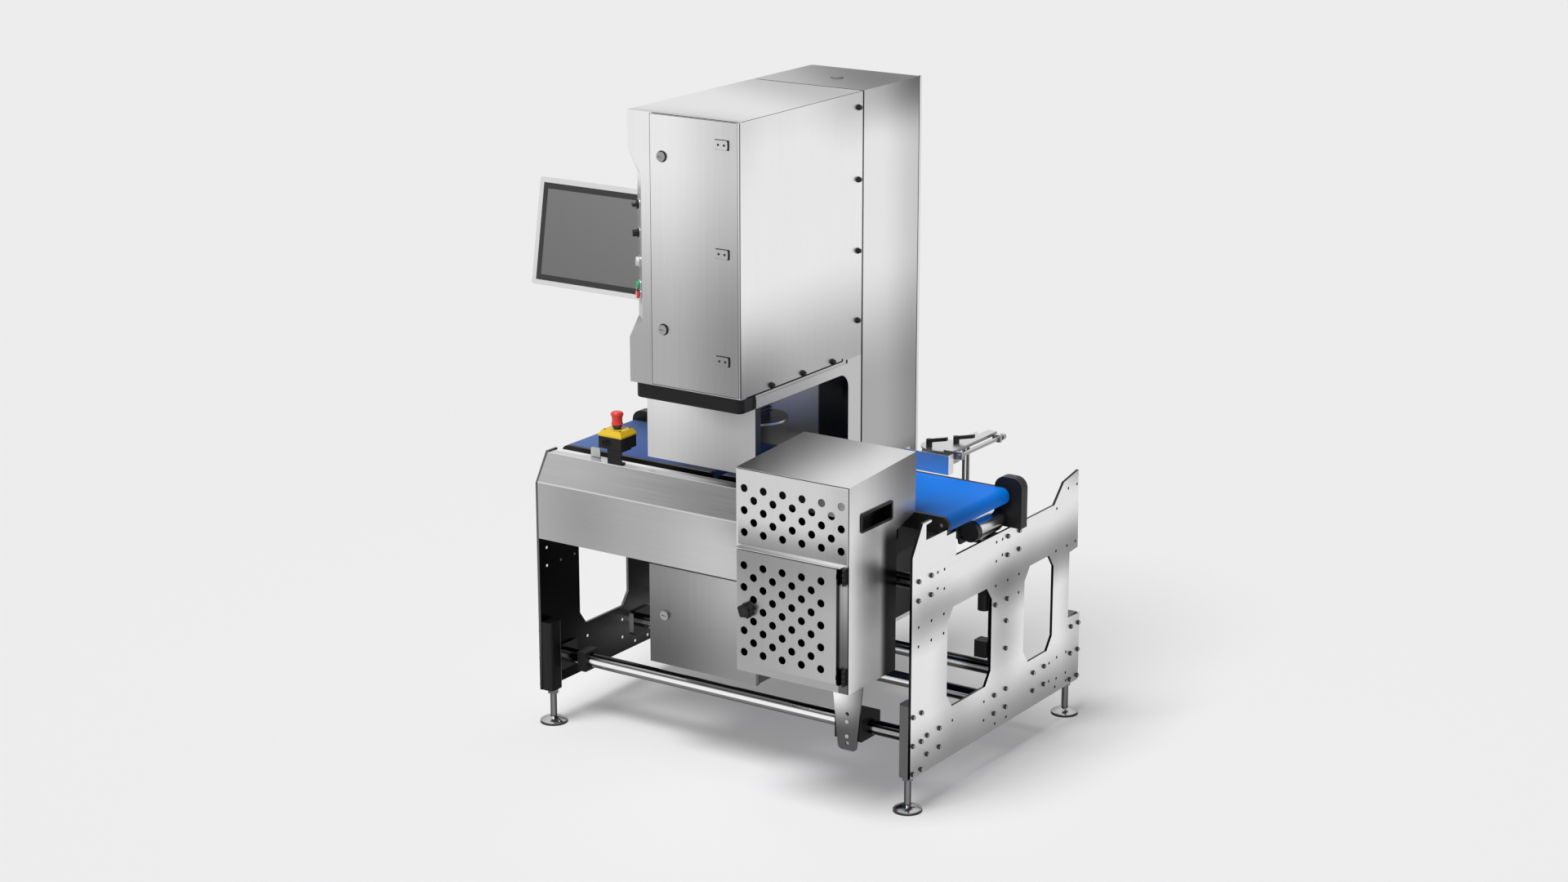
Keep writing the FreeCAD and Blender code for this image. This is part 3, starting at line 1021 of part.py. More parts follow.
def bin_leg():
    """Tapered leg plate from the bin's back wall down to the clamp on the front tube."""
    top, low = LEG_WIDTHS[0] / 2, LEG_WIDTHS[1] / 2
    c = LEG_CENTRE
    outline = [(c - top, LEG_TOP), (c - top, BIN_BOTTOM), (c - low, LEG_LOW), (c + low, LEG_LOW),
               (c + top, BIN_BOTTOM), (c + top, LEG_TOP)]
    leg = prism(outline, "XZ", BIN_LOW_BACK, BIN_LOW_BACK + LEG_T)
    leg = rounded(leg, 14, lambda e: along(e, Y_AXIS) and abs(e.CenterOfMass.z - LEG_LOW) < 1)
    z = TUBES_LOW[0][1]
    for dz in (-44, 44):
        leg = leg.cut(rod((c, BIN_LOW_BACK, z + dz), Y_AXIS, 12, LEG_T))
    nodes["bin_leg"] = leg


def cabinet():
    """Electrical cabinet under the belts with a front door and quarter-turn lock."""
    x, y, z = CABINET_X, CABINET_Y, CABINET_Z
    body = box(x, (y[0], y[1]), z)
    body = body.cut(box((x[0] + SHEET, x[1] - SHEET), (y[0] + SHEET, y[1] - SHEET), (z[0] + SHEET, z[1] - SHEET)))
    doorway = box((x[0] + CABINET_RIM, x[1] - CABINET_RIM), (y[0] - 1, y[0] + SHEET + 1),
                  (z[0] + CABINET_RIM, CABINET_DOOR_TOP - CABINET_RIM))
    body = body.cut(doorway)
    front, back = y[0] - CABINET_DOOR_T, y[0] - CABINET_DOOR_GAP
    door_z = (z[0] + MOVE_GAP, CABINET_DOOR_TOP)
    px, py = x[1] - CABINET_PIN_IN, front + CABINET_PIN_IN
    for low, high, start in ((z[0] - TAB_T, z[0], z[0]), (door_z[1] + MOVE_GAP, door_z[1] + MOVE_GAP + TAB_T,
                                                          door_z[1] + MOVE_GAP - CABINET_PIN_L)):
        body = body.fuse(box((x[1] - 2 * CABINET_PIN_IN, x[1]), (front, y[0] + SHEET), (low, high)))
        body = body.fuse(rod((px, py, start), Z_AXIS, CABINET_PIN_D, CABINET_PIN_L))
    nodes["cabinet"] = body.removeSplitter()
    door = box(x, (front, back), door_z)
    door = door.cut(box((x[0] + SHEET, x[1] - SHEET), (front + SHEET, back), (door_z[0] + SHEET, door_z[1] - SHEET)))
    door = door.cut(rod((px, py, door_z[0]), Z_AXIS, CABINET_PIN_D + 2 * RUN_GAP, door_z[1] - door_z[0]))
    lx, lz = CABINET_LOCK
    door = door.cut(rod((lx, front, lz), Y_AXIS, LOCK_SHAFT_D + 2 * RUN_GAP, SHEET))
    nodes["cabinet_door"] = door
    nodes["cabinet_lock"] = quarter_turn(lx, front, lz, y[0] + SHEET + CABINET_SEAL,
                                         lx - x[0] - CABINET_RIM + TONGUE_LAP)


def reject_pusher():
    """Pusher: a folded plate on two rods that slide in a bearing under a beam, and the beam's stand."""
    gx, gz = PUSH_X, PUSH_Z
    face = box(gx, (PUSH_Y, PUSH_Y + SHEET), gz)
    for edge in (gx[0], gx[1] - SHEET):
        face = face.fuse(box((edge, edge + SHEET), (PUSH_Y, PUSH_Y + PUSH_RETURN), gz))
    rods_x = (BEAM_X[0] - 60, BEAM_X[1] - 12)
    for x in rods_x:
        face = face.fuse(rod((x, PUSH_Y, ROD_Z), Y_AXIS, ROD_D, ROD_END - PUSH_Y))
    nodes["pusher_plate"] = face.removeSplitter()
    low, high = BEAM_X
    beam = box((low, high), BEAM_Y, (BEAM_Z - 10, BEAM_Z))
    bearing = box((rods_x[0] - 14, high), (BEAM_Y[0], BEAM_Y[0] + 40), (ROD_Z - 12, BEAM_Z - 10))
    for x in rods_x:
        bearing = bearing.cut(rod((x, BEAM_Y[0], ROD_Z), Y_AXIS, ROD_D + 2 * RUN_GAP, 40))
    disc_at = (low - 35, BEAM_Y[0] + 55, BEAM_Z - 10)
    disc = rod(disc_at, Z_AXIS, PIVOT_D, 5)
    spindle = rod((high + 14, BEAM_Y[0] + 8, BEAM_Z - 16), Y_AXIS, 12, BEAM_Y[1] - BEAM_Y[0] - 4)
    spindle = spindle.fuse(rod((high + 14, BEAM_Y[1], BEAM_Z - 16), Y_AXIS, 20, 14))
    for y in (BEAM_Y[0] + 12, BEAM_Y[1] - 24):
        spindle = spindle.fuse(box((high - 2, high + 24), (y, y + 12), (BEAM_Z - 26, BEAM_Z - 4)))
    stand_y = BEAM_Y[0] + 120
    tube = TUBES_HIGH[1]
    foot_z = tube[1] + TUBE_D / 2
    stand = box((low, high), (tube[0] - 30, stand_y + 20), (foot_z, foot_z + 8))
    for y in (stand_y - 12, stand_y + 12):
        stand = stand.fuse(rod((low + 5, y, foot_z), Z_AXIS, ROD_D, BEAM_Z - 5 - foot_z))
    support = beam.multiFuse([bearing, disc, spindle, stand])
    levers = {"clamp_lever_front": (low - 62, BEAM_Y[0] + 22), "clamp_lever_back": (low - 12, BEAM_Y[0] + 92)}
    for x, y in levers.values():
        support = support.cut(rod((x, y, BEAM_Z - 20), Z_AXIS, 8 + 2 * RUN_GAP, 30))
    nodes["pusher_stand"] = support.removeSplitter()
    for name, (x, y) in levers.items():
        nodes[name] = clamp_lever(x, y, BEAM_Z - 5 + MOVE_GAP)


def clamp_lever(x, y, z):
    """Black clamp lever: hub on a screw, arm rising to a round end."""
    hub = rod((x, y, z), Z_AXIS, 18, 22)
    screw = rod((x, y, z - 12), Z_AXIS, 8, 14)
    arm = prism([(x, z + 12), (x + 60, z + 26), (x + 60, z + 36), (x, z + 22)], "XZ", y - 5, y + 5)
    return hub.fuse(screw).fuse(arm).removeSplitter()


def valve_block():
    """Compressed-air valve and its filter bowl on a strip inside the right plate."""
    x = RIGHT_IN
    strip = box((x - 6, x), (-42, -22), (310, 560))
    valve = box((x - 46, x - 6), (-52, -12), (330, 380))
    bowl = rod((x - 26, -32, 470), Z_AXIS, 36, 60).fuse(box((x - 46, x - 6), (-52, -12), (520, 545)))
    nodes["valve_block"] = group(strip, rounded(valve, 4, lambda e: along(e, Z_AXIS)), bowl.removeSplitter())


def build():
    side_plates()
    corner_posts()
    levelling_feet()
    cross_tubes()
    clamp_blocks()
    front_cover()
    drip_tray()
    conveyor_belts()
    rollers()
    conveyor_frame()
    load_cell()
    drives()
    emergency_stop()
    head_shell()
    controls()
    head_door()
    head_locks()
    head_side_panel()
    head_frame()
    head_skirt()
    head_guard()
    column()
    rear_cover()
    display()
    print_unit()
    reels()
    applicator()
    reject_bin()
    bin_door()
    bin_knob()
    bin_grip()
    bin_leg()
    cabinet()
    reject_pusher()
    valve_block()


def export():
    """Centre the outer box over the origin and write one STEP file for each node."""
    os.makedirs("parts", exist_ok=True)
    whole = Part.makeCompound(list(nodes.values())).BoundBox
    shift = V(-(whole.XMin + whole.XMax) / 2, -(whole.YMin + whole.YMax) / 2, 0)
    print(f"shift {shift.x:.3f} {shift.y:.3f}, size {whole.XLength:.1f} {whole.YLength:.1f} {whole.ZLength:.1f}")
    for name, shape in nodes.items():
        for solid in shape.Solids:
            if not solid.isValid() or solid.Volume <= 0:
                print("not a valid solid in", name)
        shape.translate(shift)
        shape.exportStep(f"parts/{name}.step")
    print(len(nodes), "nodes,", sum(len(s.Solids) for s in nodes.values()), "solids")


build()
export()
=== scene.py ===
# %% [markdown]
# # A weigh price labeller in brushed steel
# A weigh price labeller weighs a packed tray on its first belt, prints a price label and presses it
# on from above. The machine's construction is already there and is loaded as a fixed frame. This
# lesson is about what turns bare solids into a machine: finishes that follow the real surfaces, the
# small fasteners that a fitter would add, and a plain studio to see it all in.

# %% Load the frame
import bmesh
import bpy
import math
from mathutils import Matrix, Vector


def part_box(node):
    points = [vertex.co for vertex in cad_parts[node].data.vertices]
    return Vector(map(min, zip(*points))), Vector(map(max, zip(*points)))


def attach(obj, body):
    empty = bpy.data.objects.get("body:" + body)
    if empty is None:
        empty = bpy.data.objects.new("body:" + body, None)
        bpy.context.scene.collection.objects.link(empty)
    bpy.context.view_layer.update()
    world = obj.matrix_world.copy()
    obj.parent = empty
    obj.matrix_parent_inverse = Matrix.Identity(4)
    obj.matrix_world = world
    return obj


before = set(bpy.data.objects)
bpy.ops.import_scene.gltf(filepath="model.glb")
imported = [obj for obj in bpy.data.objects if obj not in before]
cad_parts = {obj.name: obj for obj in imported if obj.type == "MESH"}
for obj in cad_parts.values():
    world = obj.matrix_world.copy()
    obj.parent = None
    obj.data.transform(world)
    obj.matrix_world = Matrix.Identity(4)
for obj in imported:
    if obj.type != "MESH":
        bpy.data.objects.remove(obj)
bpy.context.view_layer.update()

# %% [markdown]
# A fitter's drawing measures this machine in millimetres from the middle of its two side plates.
# Adding an offset to every place by hand would be easy to get wrong. The plates themselves say where
# the drawing's origin lies in the frame, so one helper turns any drawing place into metres.

# %% Drawing places to metres
PLATE_FRONT = -485.0
left_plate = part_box("side_plate_left")
right_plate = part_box("side_plate_right")
ORIGIN = Vector(((left_plate[0][0] + right_plate[1][0]) / 2, right_plate[0][1] - PLATE_FRONT / 1000, 0))


def at(x, y, z):
    """A drawing place in metres."""
    return ORIGIN + Vector((x, y, z)) / 1000


print("drawing origin", [round(v, 4) for v in ORIGIN])

# %% [markdown]
# The camera stands far off in front and to the right, higher than the head's roof, and looks slightly
# down. Its long lens keeps the upright edges almost parallel. A camera could be placed by eye. A place
# and two angles worked out from known corners of the machine put every edge where it belongs.

# %% Camera
LENS_PIXELS = 3785.0
FRAME_PIXELS = 1920.0
SENSOR_WIDTH = 36.0
FAR_END = 60.0
CAMERA_AT = (4774.0, -7320.0, 3366.5)
CAMERA_AZIMUTH = 33.625
CAMERA_ELEVATION = 15.966

camera_data = bpy.data.cameras.new("camera")
camera_data.sensor_width = SENSOR_WIDTH
camera_data.lens = SENSOR_WIDTH * LENS_PIXELS / FRAME_PIXELS
camera_data.clip_end = FAR_END
camera = bpy.data.objects.new("camera", camera_data)
bpy.context.scene.collection.objects.link(camera)
camera.location = at(*CAMERA_AT)
camera.rotation_euler = (math.radians(90 - CAMERA_ELEVATION), 0, math.radians(CAMERA_AZIMUTH))
bpy.context.scene.camera = camera
print("camera lens", round(camera_data.lens, 2), "mm at", [round(v, 3) for v in camera.location])

# %% [markdown]
# A finish is drawn as a net of nodes, but its maths reads best as a formula. A Wire holds one output
# socket, and its operators add the Math nodes, so that `1 - mask * 0.5` is written as on paper.

# %% A wire for shader maths
class Wire:
    """One output socket that can be added, multiplied and so on."""

    def __init__(self, nodes, socket):
        self.nodes = nodes
        self.socket = socket

    def maths(self, operation, first, second):
        return self.nodes.node("ShaderNodeMath", {"operation": operation}, {0: first, 1: second})

    def __add__(self, other):
        return self.maths("ADD", self, other)

    def __sub__(self, other):
        return self.maths("SUBTRACT", self, other)

    def __mul__(self, other):
        return self.maths("MULTIPLY", self, other)

    def __truediv__(self, other):
        return self.maths("DIVIDE", self, other)

    def __pow__(self, other):
        return self.maths("POWER", self, other)

    def __radd__(self, other):
        return self.maths("ADD", other, self)

    def __rsub__(self, other):
        return self.maths("SUBTRACT", other, self)

    def __rmul__(self, other):
        return self.maths("MULTIPLY", other, self)

    def lowest(self, other):
        return self.maths("MINIMUM", self, other)

    def highest(self, other):
        return self.maths("MAXIMUM", self, other)


# %% [markdown]
# Everything that isn't plain maths comes from one method, node. It takes the node's type, its
# settings and the values or wires of its sockets. The studio's sky uses it as well as the finishes.

# %% Nodes in a tree
class Nodes:
    """A node tree that one method fills."""

    def __init__(self, tree):
        self.tree = tree

    def put(self, socket, value):
        if isinstance(value, Wire):
            self.tree.links.new(value.socket, socket)
        else:
            socket.default_value = value

    def node(self, kind, settings, values, output=0):
        """Add a node: settings first, then the values or wires of its sockets."""
        made = self.tree.nodes.new(kind)
        for name, value in settings.items():
            setattr(made, name, value)
        for name, value in values.items():
            self.put(made.inputs[name], value)
        return Wire(self, made.outputs[output])

    def blend(self, mask, first, second):
        """Colour first where the mask is 0, second where it is 1."""
        def colour(value):
            return value if isinstance(value, Wire) else (*value, 1)
        return self.node("ShaderNodeMix", {"data_type": "RGBA"},
                         {0: mask, 6: colour(first), 7: colour(second)}, 2)


# %% [markdown]
# A finish needs to know where it is on the piece. The piece's own coordinates are used, and never
# the camera's, so every mark stays in its place when a door swings or the view changes.

# %% A finish
GRAIN_DEPTH = 0.0003


class Finish(Nodes):
    """A material under construction: its main shader and the nodes that feed it."""

    def __init__(self, title):
        self.material = bpy.data.materials.new(title)
        self.material.use_nodes = True
        super().__init__(self.material.node_tree)
        self.shader = self.tree.nodes["Principled BSDF"]
        self.place = self.node("ShaderNodeTexCoord", {}, {}, "Object")
        self.normal = Wire(self, self.place.socket.node.outputs["Normal"])
        split = self.node("ShaderNodeSeparateXYZ", {}, {0: self.place}).socket.node
        self.x, self.y, self.z = (Wire(self, output) for output in split.outputs)

    def set(self, **sockets):
        """Set the shader's own sockets, with spaces in their names written as underscores."""
        for name, value in sockets.items():
            self.put(self.shader.inputs[name.replace("_", " ")], value)

    def vector(self, operation, first, second=None):
        """Vector Math. A dot product or a length gives a number, anything else a vector."""
        output = "Value" if operation in ("DOT_PRODUCT", "LENGTH") else "Vector"
        values = {0: first} if second is None else {0: first, 1: tuple(second)}
        return self.node("ShaderNodeVectorMath", {"operation": operation}, values, output)

    def step(self, value, low, high):
        """0 below low, 1 above high, smooth between."""
        return self.node("ShaderNodeMapRange", {"interpolation_type": "SMOOTHSTEP"},
                         {"Value": value, "From Min": low, "From Max": high})

    def noise(self, scale, detail=2.0, stretch=(1, 1, 1)):
        stretched = self.vector("MULTIPLY", self.place, stretch)
        return self.node("ShaderNodeTexNoise", {}, {"Vector": stretched, "Scale": scale, "Detail": detail})

    def bump(self, height, strength):
        return self.node("ShaderNodeBump", {}, {"Strength": strength, "Distance": GRAIN_DEPTH,
                                                "Height": height}, "Normal")


def grey(value, warmth=0.0):
    return (value * (1 + warmth), value, value * (1 - warmth))


def dress(node, material):
    """Give a carried-over piece its finish."""
    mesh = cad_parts[node].data
    mesh.materials.clear()
    mesh.materials.append(material)


# %% [markdown]
# Brushed sheet steel is the machine's main finish. It is ground with a belt, so fine streaks run one
# way. A plain mirror-like metal would copy the empty studio as one flat grey, while real panels show
# broad soft reflections of the room around them. So each panel gets a painted tone of its own: a
# base plus painted light and shade that stand for those reflections, in grey steps from 0 to 255 as
# seen on a screen. A metal's base colour is multiplied by what it mirrors, here the pale backdrop, so
# the formula divides the tone by that brightness.

# %% Brushed steel
MIRRORED = 0.853
SCREEN_WHITE = 255.0
SCREEN_GAMMA = 2.2
DARKEST, PALEST = 5.0, 238.0
STREAK_TONES, CLOUD_TONES = 9.0, 5.0
GRAIN = {"x": (3, 260, 260), "y": (260, 3, 260), "z": (260, 260, 3), "flat": (3, 3, 300)}


def brushed_steel(title, box, grain, base, shades, rough=0.30):
    f = Finish(title)
    streak = f.noise(1.0, 3.0, GRAIN[grain])
    cloud = f.noise(2.3)
    tone = base + (streak - 0.5) * STREAK_TONES + (cloud - 0.5) * CLOUD_TONES
    # Each shade adds painted light where its amount is positive and painted shade where it is negative.
    for shade in shades:
        tone = tone + shade(f, box)
    seen = (tone.highest(DARKEST).lowest(PALEST) / SCREEN_WHITE) ** SCREEN_GAMMA
    f.set(Base_Color=f.blend(seen / MIRRORED, grey(0.0), grey(1.0, 0.002)), Metallic=1.0,
          Roughness=rough + (streak - 0.5) * 0.10, Normal=f.bump(streak, 0.03))
    return f.material


# %% [markdown]
# Three kinds of painted light and shade are enough. A wash changes the painted tone from one point to
# another, a pool spreads a painted spot round a point, and facing counts only for faces that look one
# way. Points are fractions of the piece's box, so a shade follows the piece when its size changes.

# %% Washes, pools and faces
RIGHT, LEFT, FRONT, BACK = (1, 0, 0), (-1, 0, 0), (0, -1, 0), (0, 1, 0)
TOP, UNDER = (0, 0, 1), (0, 0, -1)
FACE_LIMITS = (0.6, 0.8)


def inside(box, fractions):
    """A point of a box, by fractions of its sides."""
    low, high = box
    return Vector([low[i] + (high[i] - low[i]) * f for i, f in enumerate(fractions)])


def wash(start, end, amount):
    """A smooth change of tone between two points of the box."""
    def shade(f, box):
        a, b = inside(box, start), inside(box, end)
        way = (b - a) / (b - a).length_squared
        return f.step(f.vector("DOT_PRODUCT", f.vector("SUBTRACT", f.place, a), way), 0.0, 1.0) * amount
    return shade


def pool(centre, reach, amount):
    """A smooth spot of tone; its reach is in metres along x, y and z."""
    def shade(f, box):
        near = f.vector("SUBTRACT", f.place, inside(box, centre))
        return (1 - f.step(f.vector("LENGTH", f.vector("DIVIDE", near, reach)), 0.0, 1.0)) * amount
    return shade


def facing(direction, amount=1.0):
    """A tone for the faces that look one way only."""
    return lambda f, box: f.step(f.vector("DOT_PRODUCT", f.normal, direction), *FACE_LIMITS) * amount


def both(first, second):
    """Two shades multiplied, so that one says where the other one counts."""
    return lambda f, box: first(f, box) * second(f, box)


def on(direction, shade):
    """A shade that counts only on the faces that look one way."""
    return both(facing(direction), shade)


# %% [markdown]
# Some shades belong to a height or a depth on the drawing, such as the line where a sheet is bent.
# Two more helpers take plain millimetres along one axis. The last two are for special shapes: the
# narrow cut faces of a plate, and a band along a lying tube, where stripes of painted light and shade
# stand for the room's reflection.

# %% Shades by drawing place and by shape
CUT_FACE = (0.2, 0.5)
BAND_SOFT = 0.07


def beyond(axis, low, high, amount=1.0):
    """0 below one drawing place along an axis, full above another one."""
    def shade(f, box):
        number = "xyz".index(axis)
        limits = [at(value, value, value)[number] for value in (low, high)]
        return f.step(getattr(f, axis), *limits) * amount
    return shade


def under(axis, low, high, amount=1.0):
    return lambda f, box: (1 - beyond(axis, low, high)(f, box)) * amount


def cut_faces(amount):
    """A tone for the faces of an upright plate that don't look along x."""
    def shade(f, box):
        along = f.vector("DOT_PRODUCT", f.normal, RIGHT)
        return (1 - f.step(along * along, *CUT_FACE)) * amount
    return shade


def round_band(low, high, amount):
    """A tone for faces that look up by between two amounts, from -1 to 1."""
    def shade(f, box):
        up = f.vector("DOT_PRODUCT", f.normal, TOP)
        rise = f.step(up, low - BAND_SOFT, low + BAND_SOFT)
        return rise * (1 - f.step(up, high - BAND_SOFT, high + BAND_SOFT)) * amount
    return shade


def panels(rows):
    """Dress sheet-metal pieces; a row gives the grain's direction, the base tone and the shades."""
    for name, (grain, base, shades) in rows.items():
        dress(name, brushed_steel("steel_" + name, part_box(name), grain, base, shades))
    print("brushed steel:", ", ".join(rows))


# %% [markdown]
# The side plates are laser-cut from thick sheet. Their outer faces carry painted reflections of the
# pale room in long falls, their cut edges are painted dark for shade, and their inner faces carry a
# painted dark reflection of the machine's inside. An image could be projected on them, but pools and
# washes have no seams and look right from any side.

# %% Side plates
panels({
    "side_plate_right": ("flat", 226, [
        pool((1, 0.66, 0.60), (0.3, 0.42, 0.13), -92), pool((1, 0.95, 0.62), (0.3, 0.24, 0.13), -55),
        pool((1, 0.08, 0.62), (0.3, 0.26, 0.12), -66), wash((1, 0.5, 0.24), (1, 0.5, 0), -82),
        pool((1, 0.97, 1.0), (0.3, 0.16, 0.14), -110), pool((1, 0.25, 0.33), (0.3, 0.16, 0.3), -34),
        pool((1, 0.52, 0.40), (0.3, 0.15, 0.24), -52), pool((1, 0.99, 0.36), (0.3, 0.14, 0.34), -46),
        pool((1, 0.36, 0.62), (0.3, 0.3, 0.09), -40), facing(LEFT, 12), cut_faces(-190)]),
    "side_plate_left": ("flat", 196, [
        facing(RIGHT, -178), on(RIGHT, pool((1, 0.5, 0.10), (0.3, 0.6, 0.2), 110)),
        on(RIGHT, pool((1, 0.75, 0.62), (0.3, 0.14, 0.2), 55)),
        wash((0, 0.5, 0.3), (0, 0.5, 0), -40), cut_faces(-100)]),
})

# %% [markdown]
# The front cover is one sheet with a bend: upright below, leaning back above. The two flats carry
# painted reflections of different parts of the room, and the rounded bend and the top lip carry a thin
# painted highlight. The drip tray behind it is painted pale on the left and carries the bin's painted
# shade on the right.

# %% Front cover and drip tray
COVER_BEND, COVER_LIP, TRAY_TOP = (754, 756), (832.5, 833.5), (826, 827)
BEND_LINE = 0.684
UPRIGHT, LEANING = under("z", *COVER_BEND), beyond("z", *COVER_BEND)
panels({
    "front_cover": ("x", 168, [
        both(UPRIGHT, pool((0.20, 0, 0.4), (0.20, 0.4, 0.3), -15)),
        both(UPRIGHT, pool((0.78, 0, 0.2), (0.30, 0.4, 0.3), 24)),
        both(UPRIGHT, pool((1.0, 0, BEND_LINE), (0.25, 0.4, 0.12), -34)),
        both(LEANING, wash((0.0, 0, 0.9), (1.0, 0, 0.9), -52)),
        beyond("z", *COVER_BEND, -6), pool((0.5, 0, BEND_LINE), (3.0, 0.3, 0.0035), 46),
        beyond("z", *COVER_LIP, 40),
        on(TOP, wash((0.60, 1, 1), (0.92, 1, 1), -190))]),
    "drip_tray": ("x", 232, [
        pool((0.62, 0.45, 0.5), (0.22, 0.2, 0.2), -110), pool((0.98, 0.5, 0.5), (0.4, 0.3, 0.2), -225),
        pool((0.2, 0.3, 0.5), (0.1, 0.3, 0.3), -60), on(FRONT, under("z", *TRAY_TOP, -170)),
        on(TOP, wash((0.62, 0.5, 1), (0.95, 0.5, 1), -210))]),
})

# %% [markdown]
# The head is a tall box: a folded shell, a door at the front and a screwed panel at the side. Each
# face is painted palest a little below its top and falls to a painted grey shade at the foot, which is
# what gives a brushed box its depth. One even tone on all of them would hide the edges where they meet.
# The welded frame under the head forms a tunnel, and only its inner walls get a painted shade that
# makes them dark.

# %% The head's sheets
RECESS, WALL_SIDE, TUNNEL_TOP, TUNNEL_DEPTH = (-84, -74), (-200, -100), (900, 1080), (-200, 80)
panels({
    "head_shell": ("z", 230, [
        wash((0.1, 0, 0.85), (0.1, 0, 0.12), -66), on(TOP, wash((0.3, 0.45, 1), (0.7, 1, 1), -54)),
        on(TOP, pool((0.6, 0, 1), (0.40, 0.16, 0.1), -16)), on(TOP, wash((0.5, 0.07, 1), (0.5, 0, 1), -24)),
        facing(TOP, -10), facing(RIGHT, -60)]),
    "head_door": ("z", 232, [
        wash((0.15, 0, 0.5), (1, 0, 0.5), -34), wash((0.5, 0, 0.88), (0.5, 0, 0.12), -62),
        facing(RIGHT, -90)]),
    "head_side_panel": ("z", 231, [
        wash((1, 0.5, 0.86), (1, 0.5, 1), -8), pool((1, 1, 1), (0.3, 0.34, 0.20), -34),
        wash((1, 0.5, 0.42), (1, 0.5, 0), -62), pool((1, 0, 0), (0.3, 0.36, 0.26), -34),
        pool((1, 0, 1), (0.3, 0.14, 0.3), -10), facing(FRONT, -60)]),
    "head_frame": ("z", 186, [
        on(RIGHT, under("x", *WALL_SIDE, -14)),
        on(RIGHT, both(under("x", *WALL_SIDE), beyond("z", *TUNNEL_TOP, -62))),
        on(RIGHT, under("y", *TUNNEL_DEPTH, -26)), on(FRONT, under("x", *RECESS, -18)),
        on(FRONT, beyond("x", *RECESS, -135)), facing(LEFT, -120), facing(UNDER, -150)]),
    "head_guard": ("z", 228, [
        wash((0.05, 0, 0.5), (0.85, 0, 0.5), -60), pool((0.72, 0, 0.97), (0.17, 0.3, 0.13), -38),
        wash((0.4, 0, 0.9), (0.1, 0, 0), -32), facing(RIGHT, -110), facing(BACK, -130)]),
})

# %% [markdown]
# The column behind the head is a folded box with a flat cover at the back. Its faces carry painted
# washes of light and shade like the head's. Its front edge stands in the gap beside the head and is
# painted dark for the shade there, and so is the cover's rim. A black strip could be laid into each
# gap. A painted shade that starts at the drawing's depth gives the same line without a piece.

# %% Column and rear cover
DARK = -400.0
COLUMN_FRONT, COLUMN_FOOT, COVER_GAP = (179.5, 179.7), (620, 800), (488.8, 489.0)
panels({
    "column": ("z", 228, [
        wash((1, 0.5, 0.9), (1, 0.5, 1), -46), pool((1, 1, 1), (0.42, 0.34, 0.22), -50),
        wash((1, 0.5, 0.70), (1, 0.5, 0.46), -62), on(RIGHT, wash((1, 0.3, 0.5), (1, 1.1, 0.5), -34)),
        on(RIGHT, under("z", *COLUMN_FOOT, -120)), on(TOP, wash((0.1, 0, 1), (0.9, 1, 1), -128)),
        facing(TOP, -12), facing(LEFT, -30), under("y", *COLUMN_FRONT, -128)]),
    "rear_cover": ("z", 190, [
        under("y", *COVER_GAP, DARK), wash((0.5, 1, 0.6), (0.5, 1, 0), -40),
        pool((0.3, 1, 0.7), (0.2, 0.3, 0.5), 34), facing(TOP, -90), facing(RIGHT, 25)]),
})

# %% [markdown]
# The reject bin catches trays that fail the check. Its right side carries a painted dark reflection
# of the gap between the bin and the side plate from half its depth on, and its other faces carry
# painted washes of light and shade. The strip in front of its sheet carries the hinges, which are
# black. One solid holds both, so the hinges' own black is added with the same tone helpers and starts
# at a drawing place. Pairs such as LEFT_WALL say where a shade begins and where it is full, and pick
# the bin's inner faces.

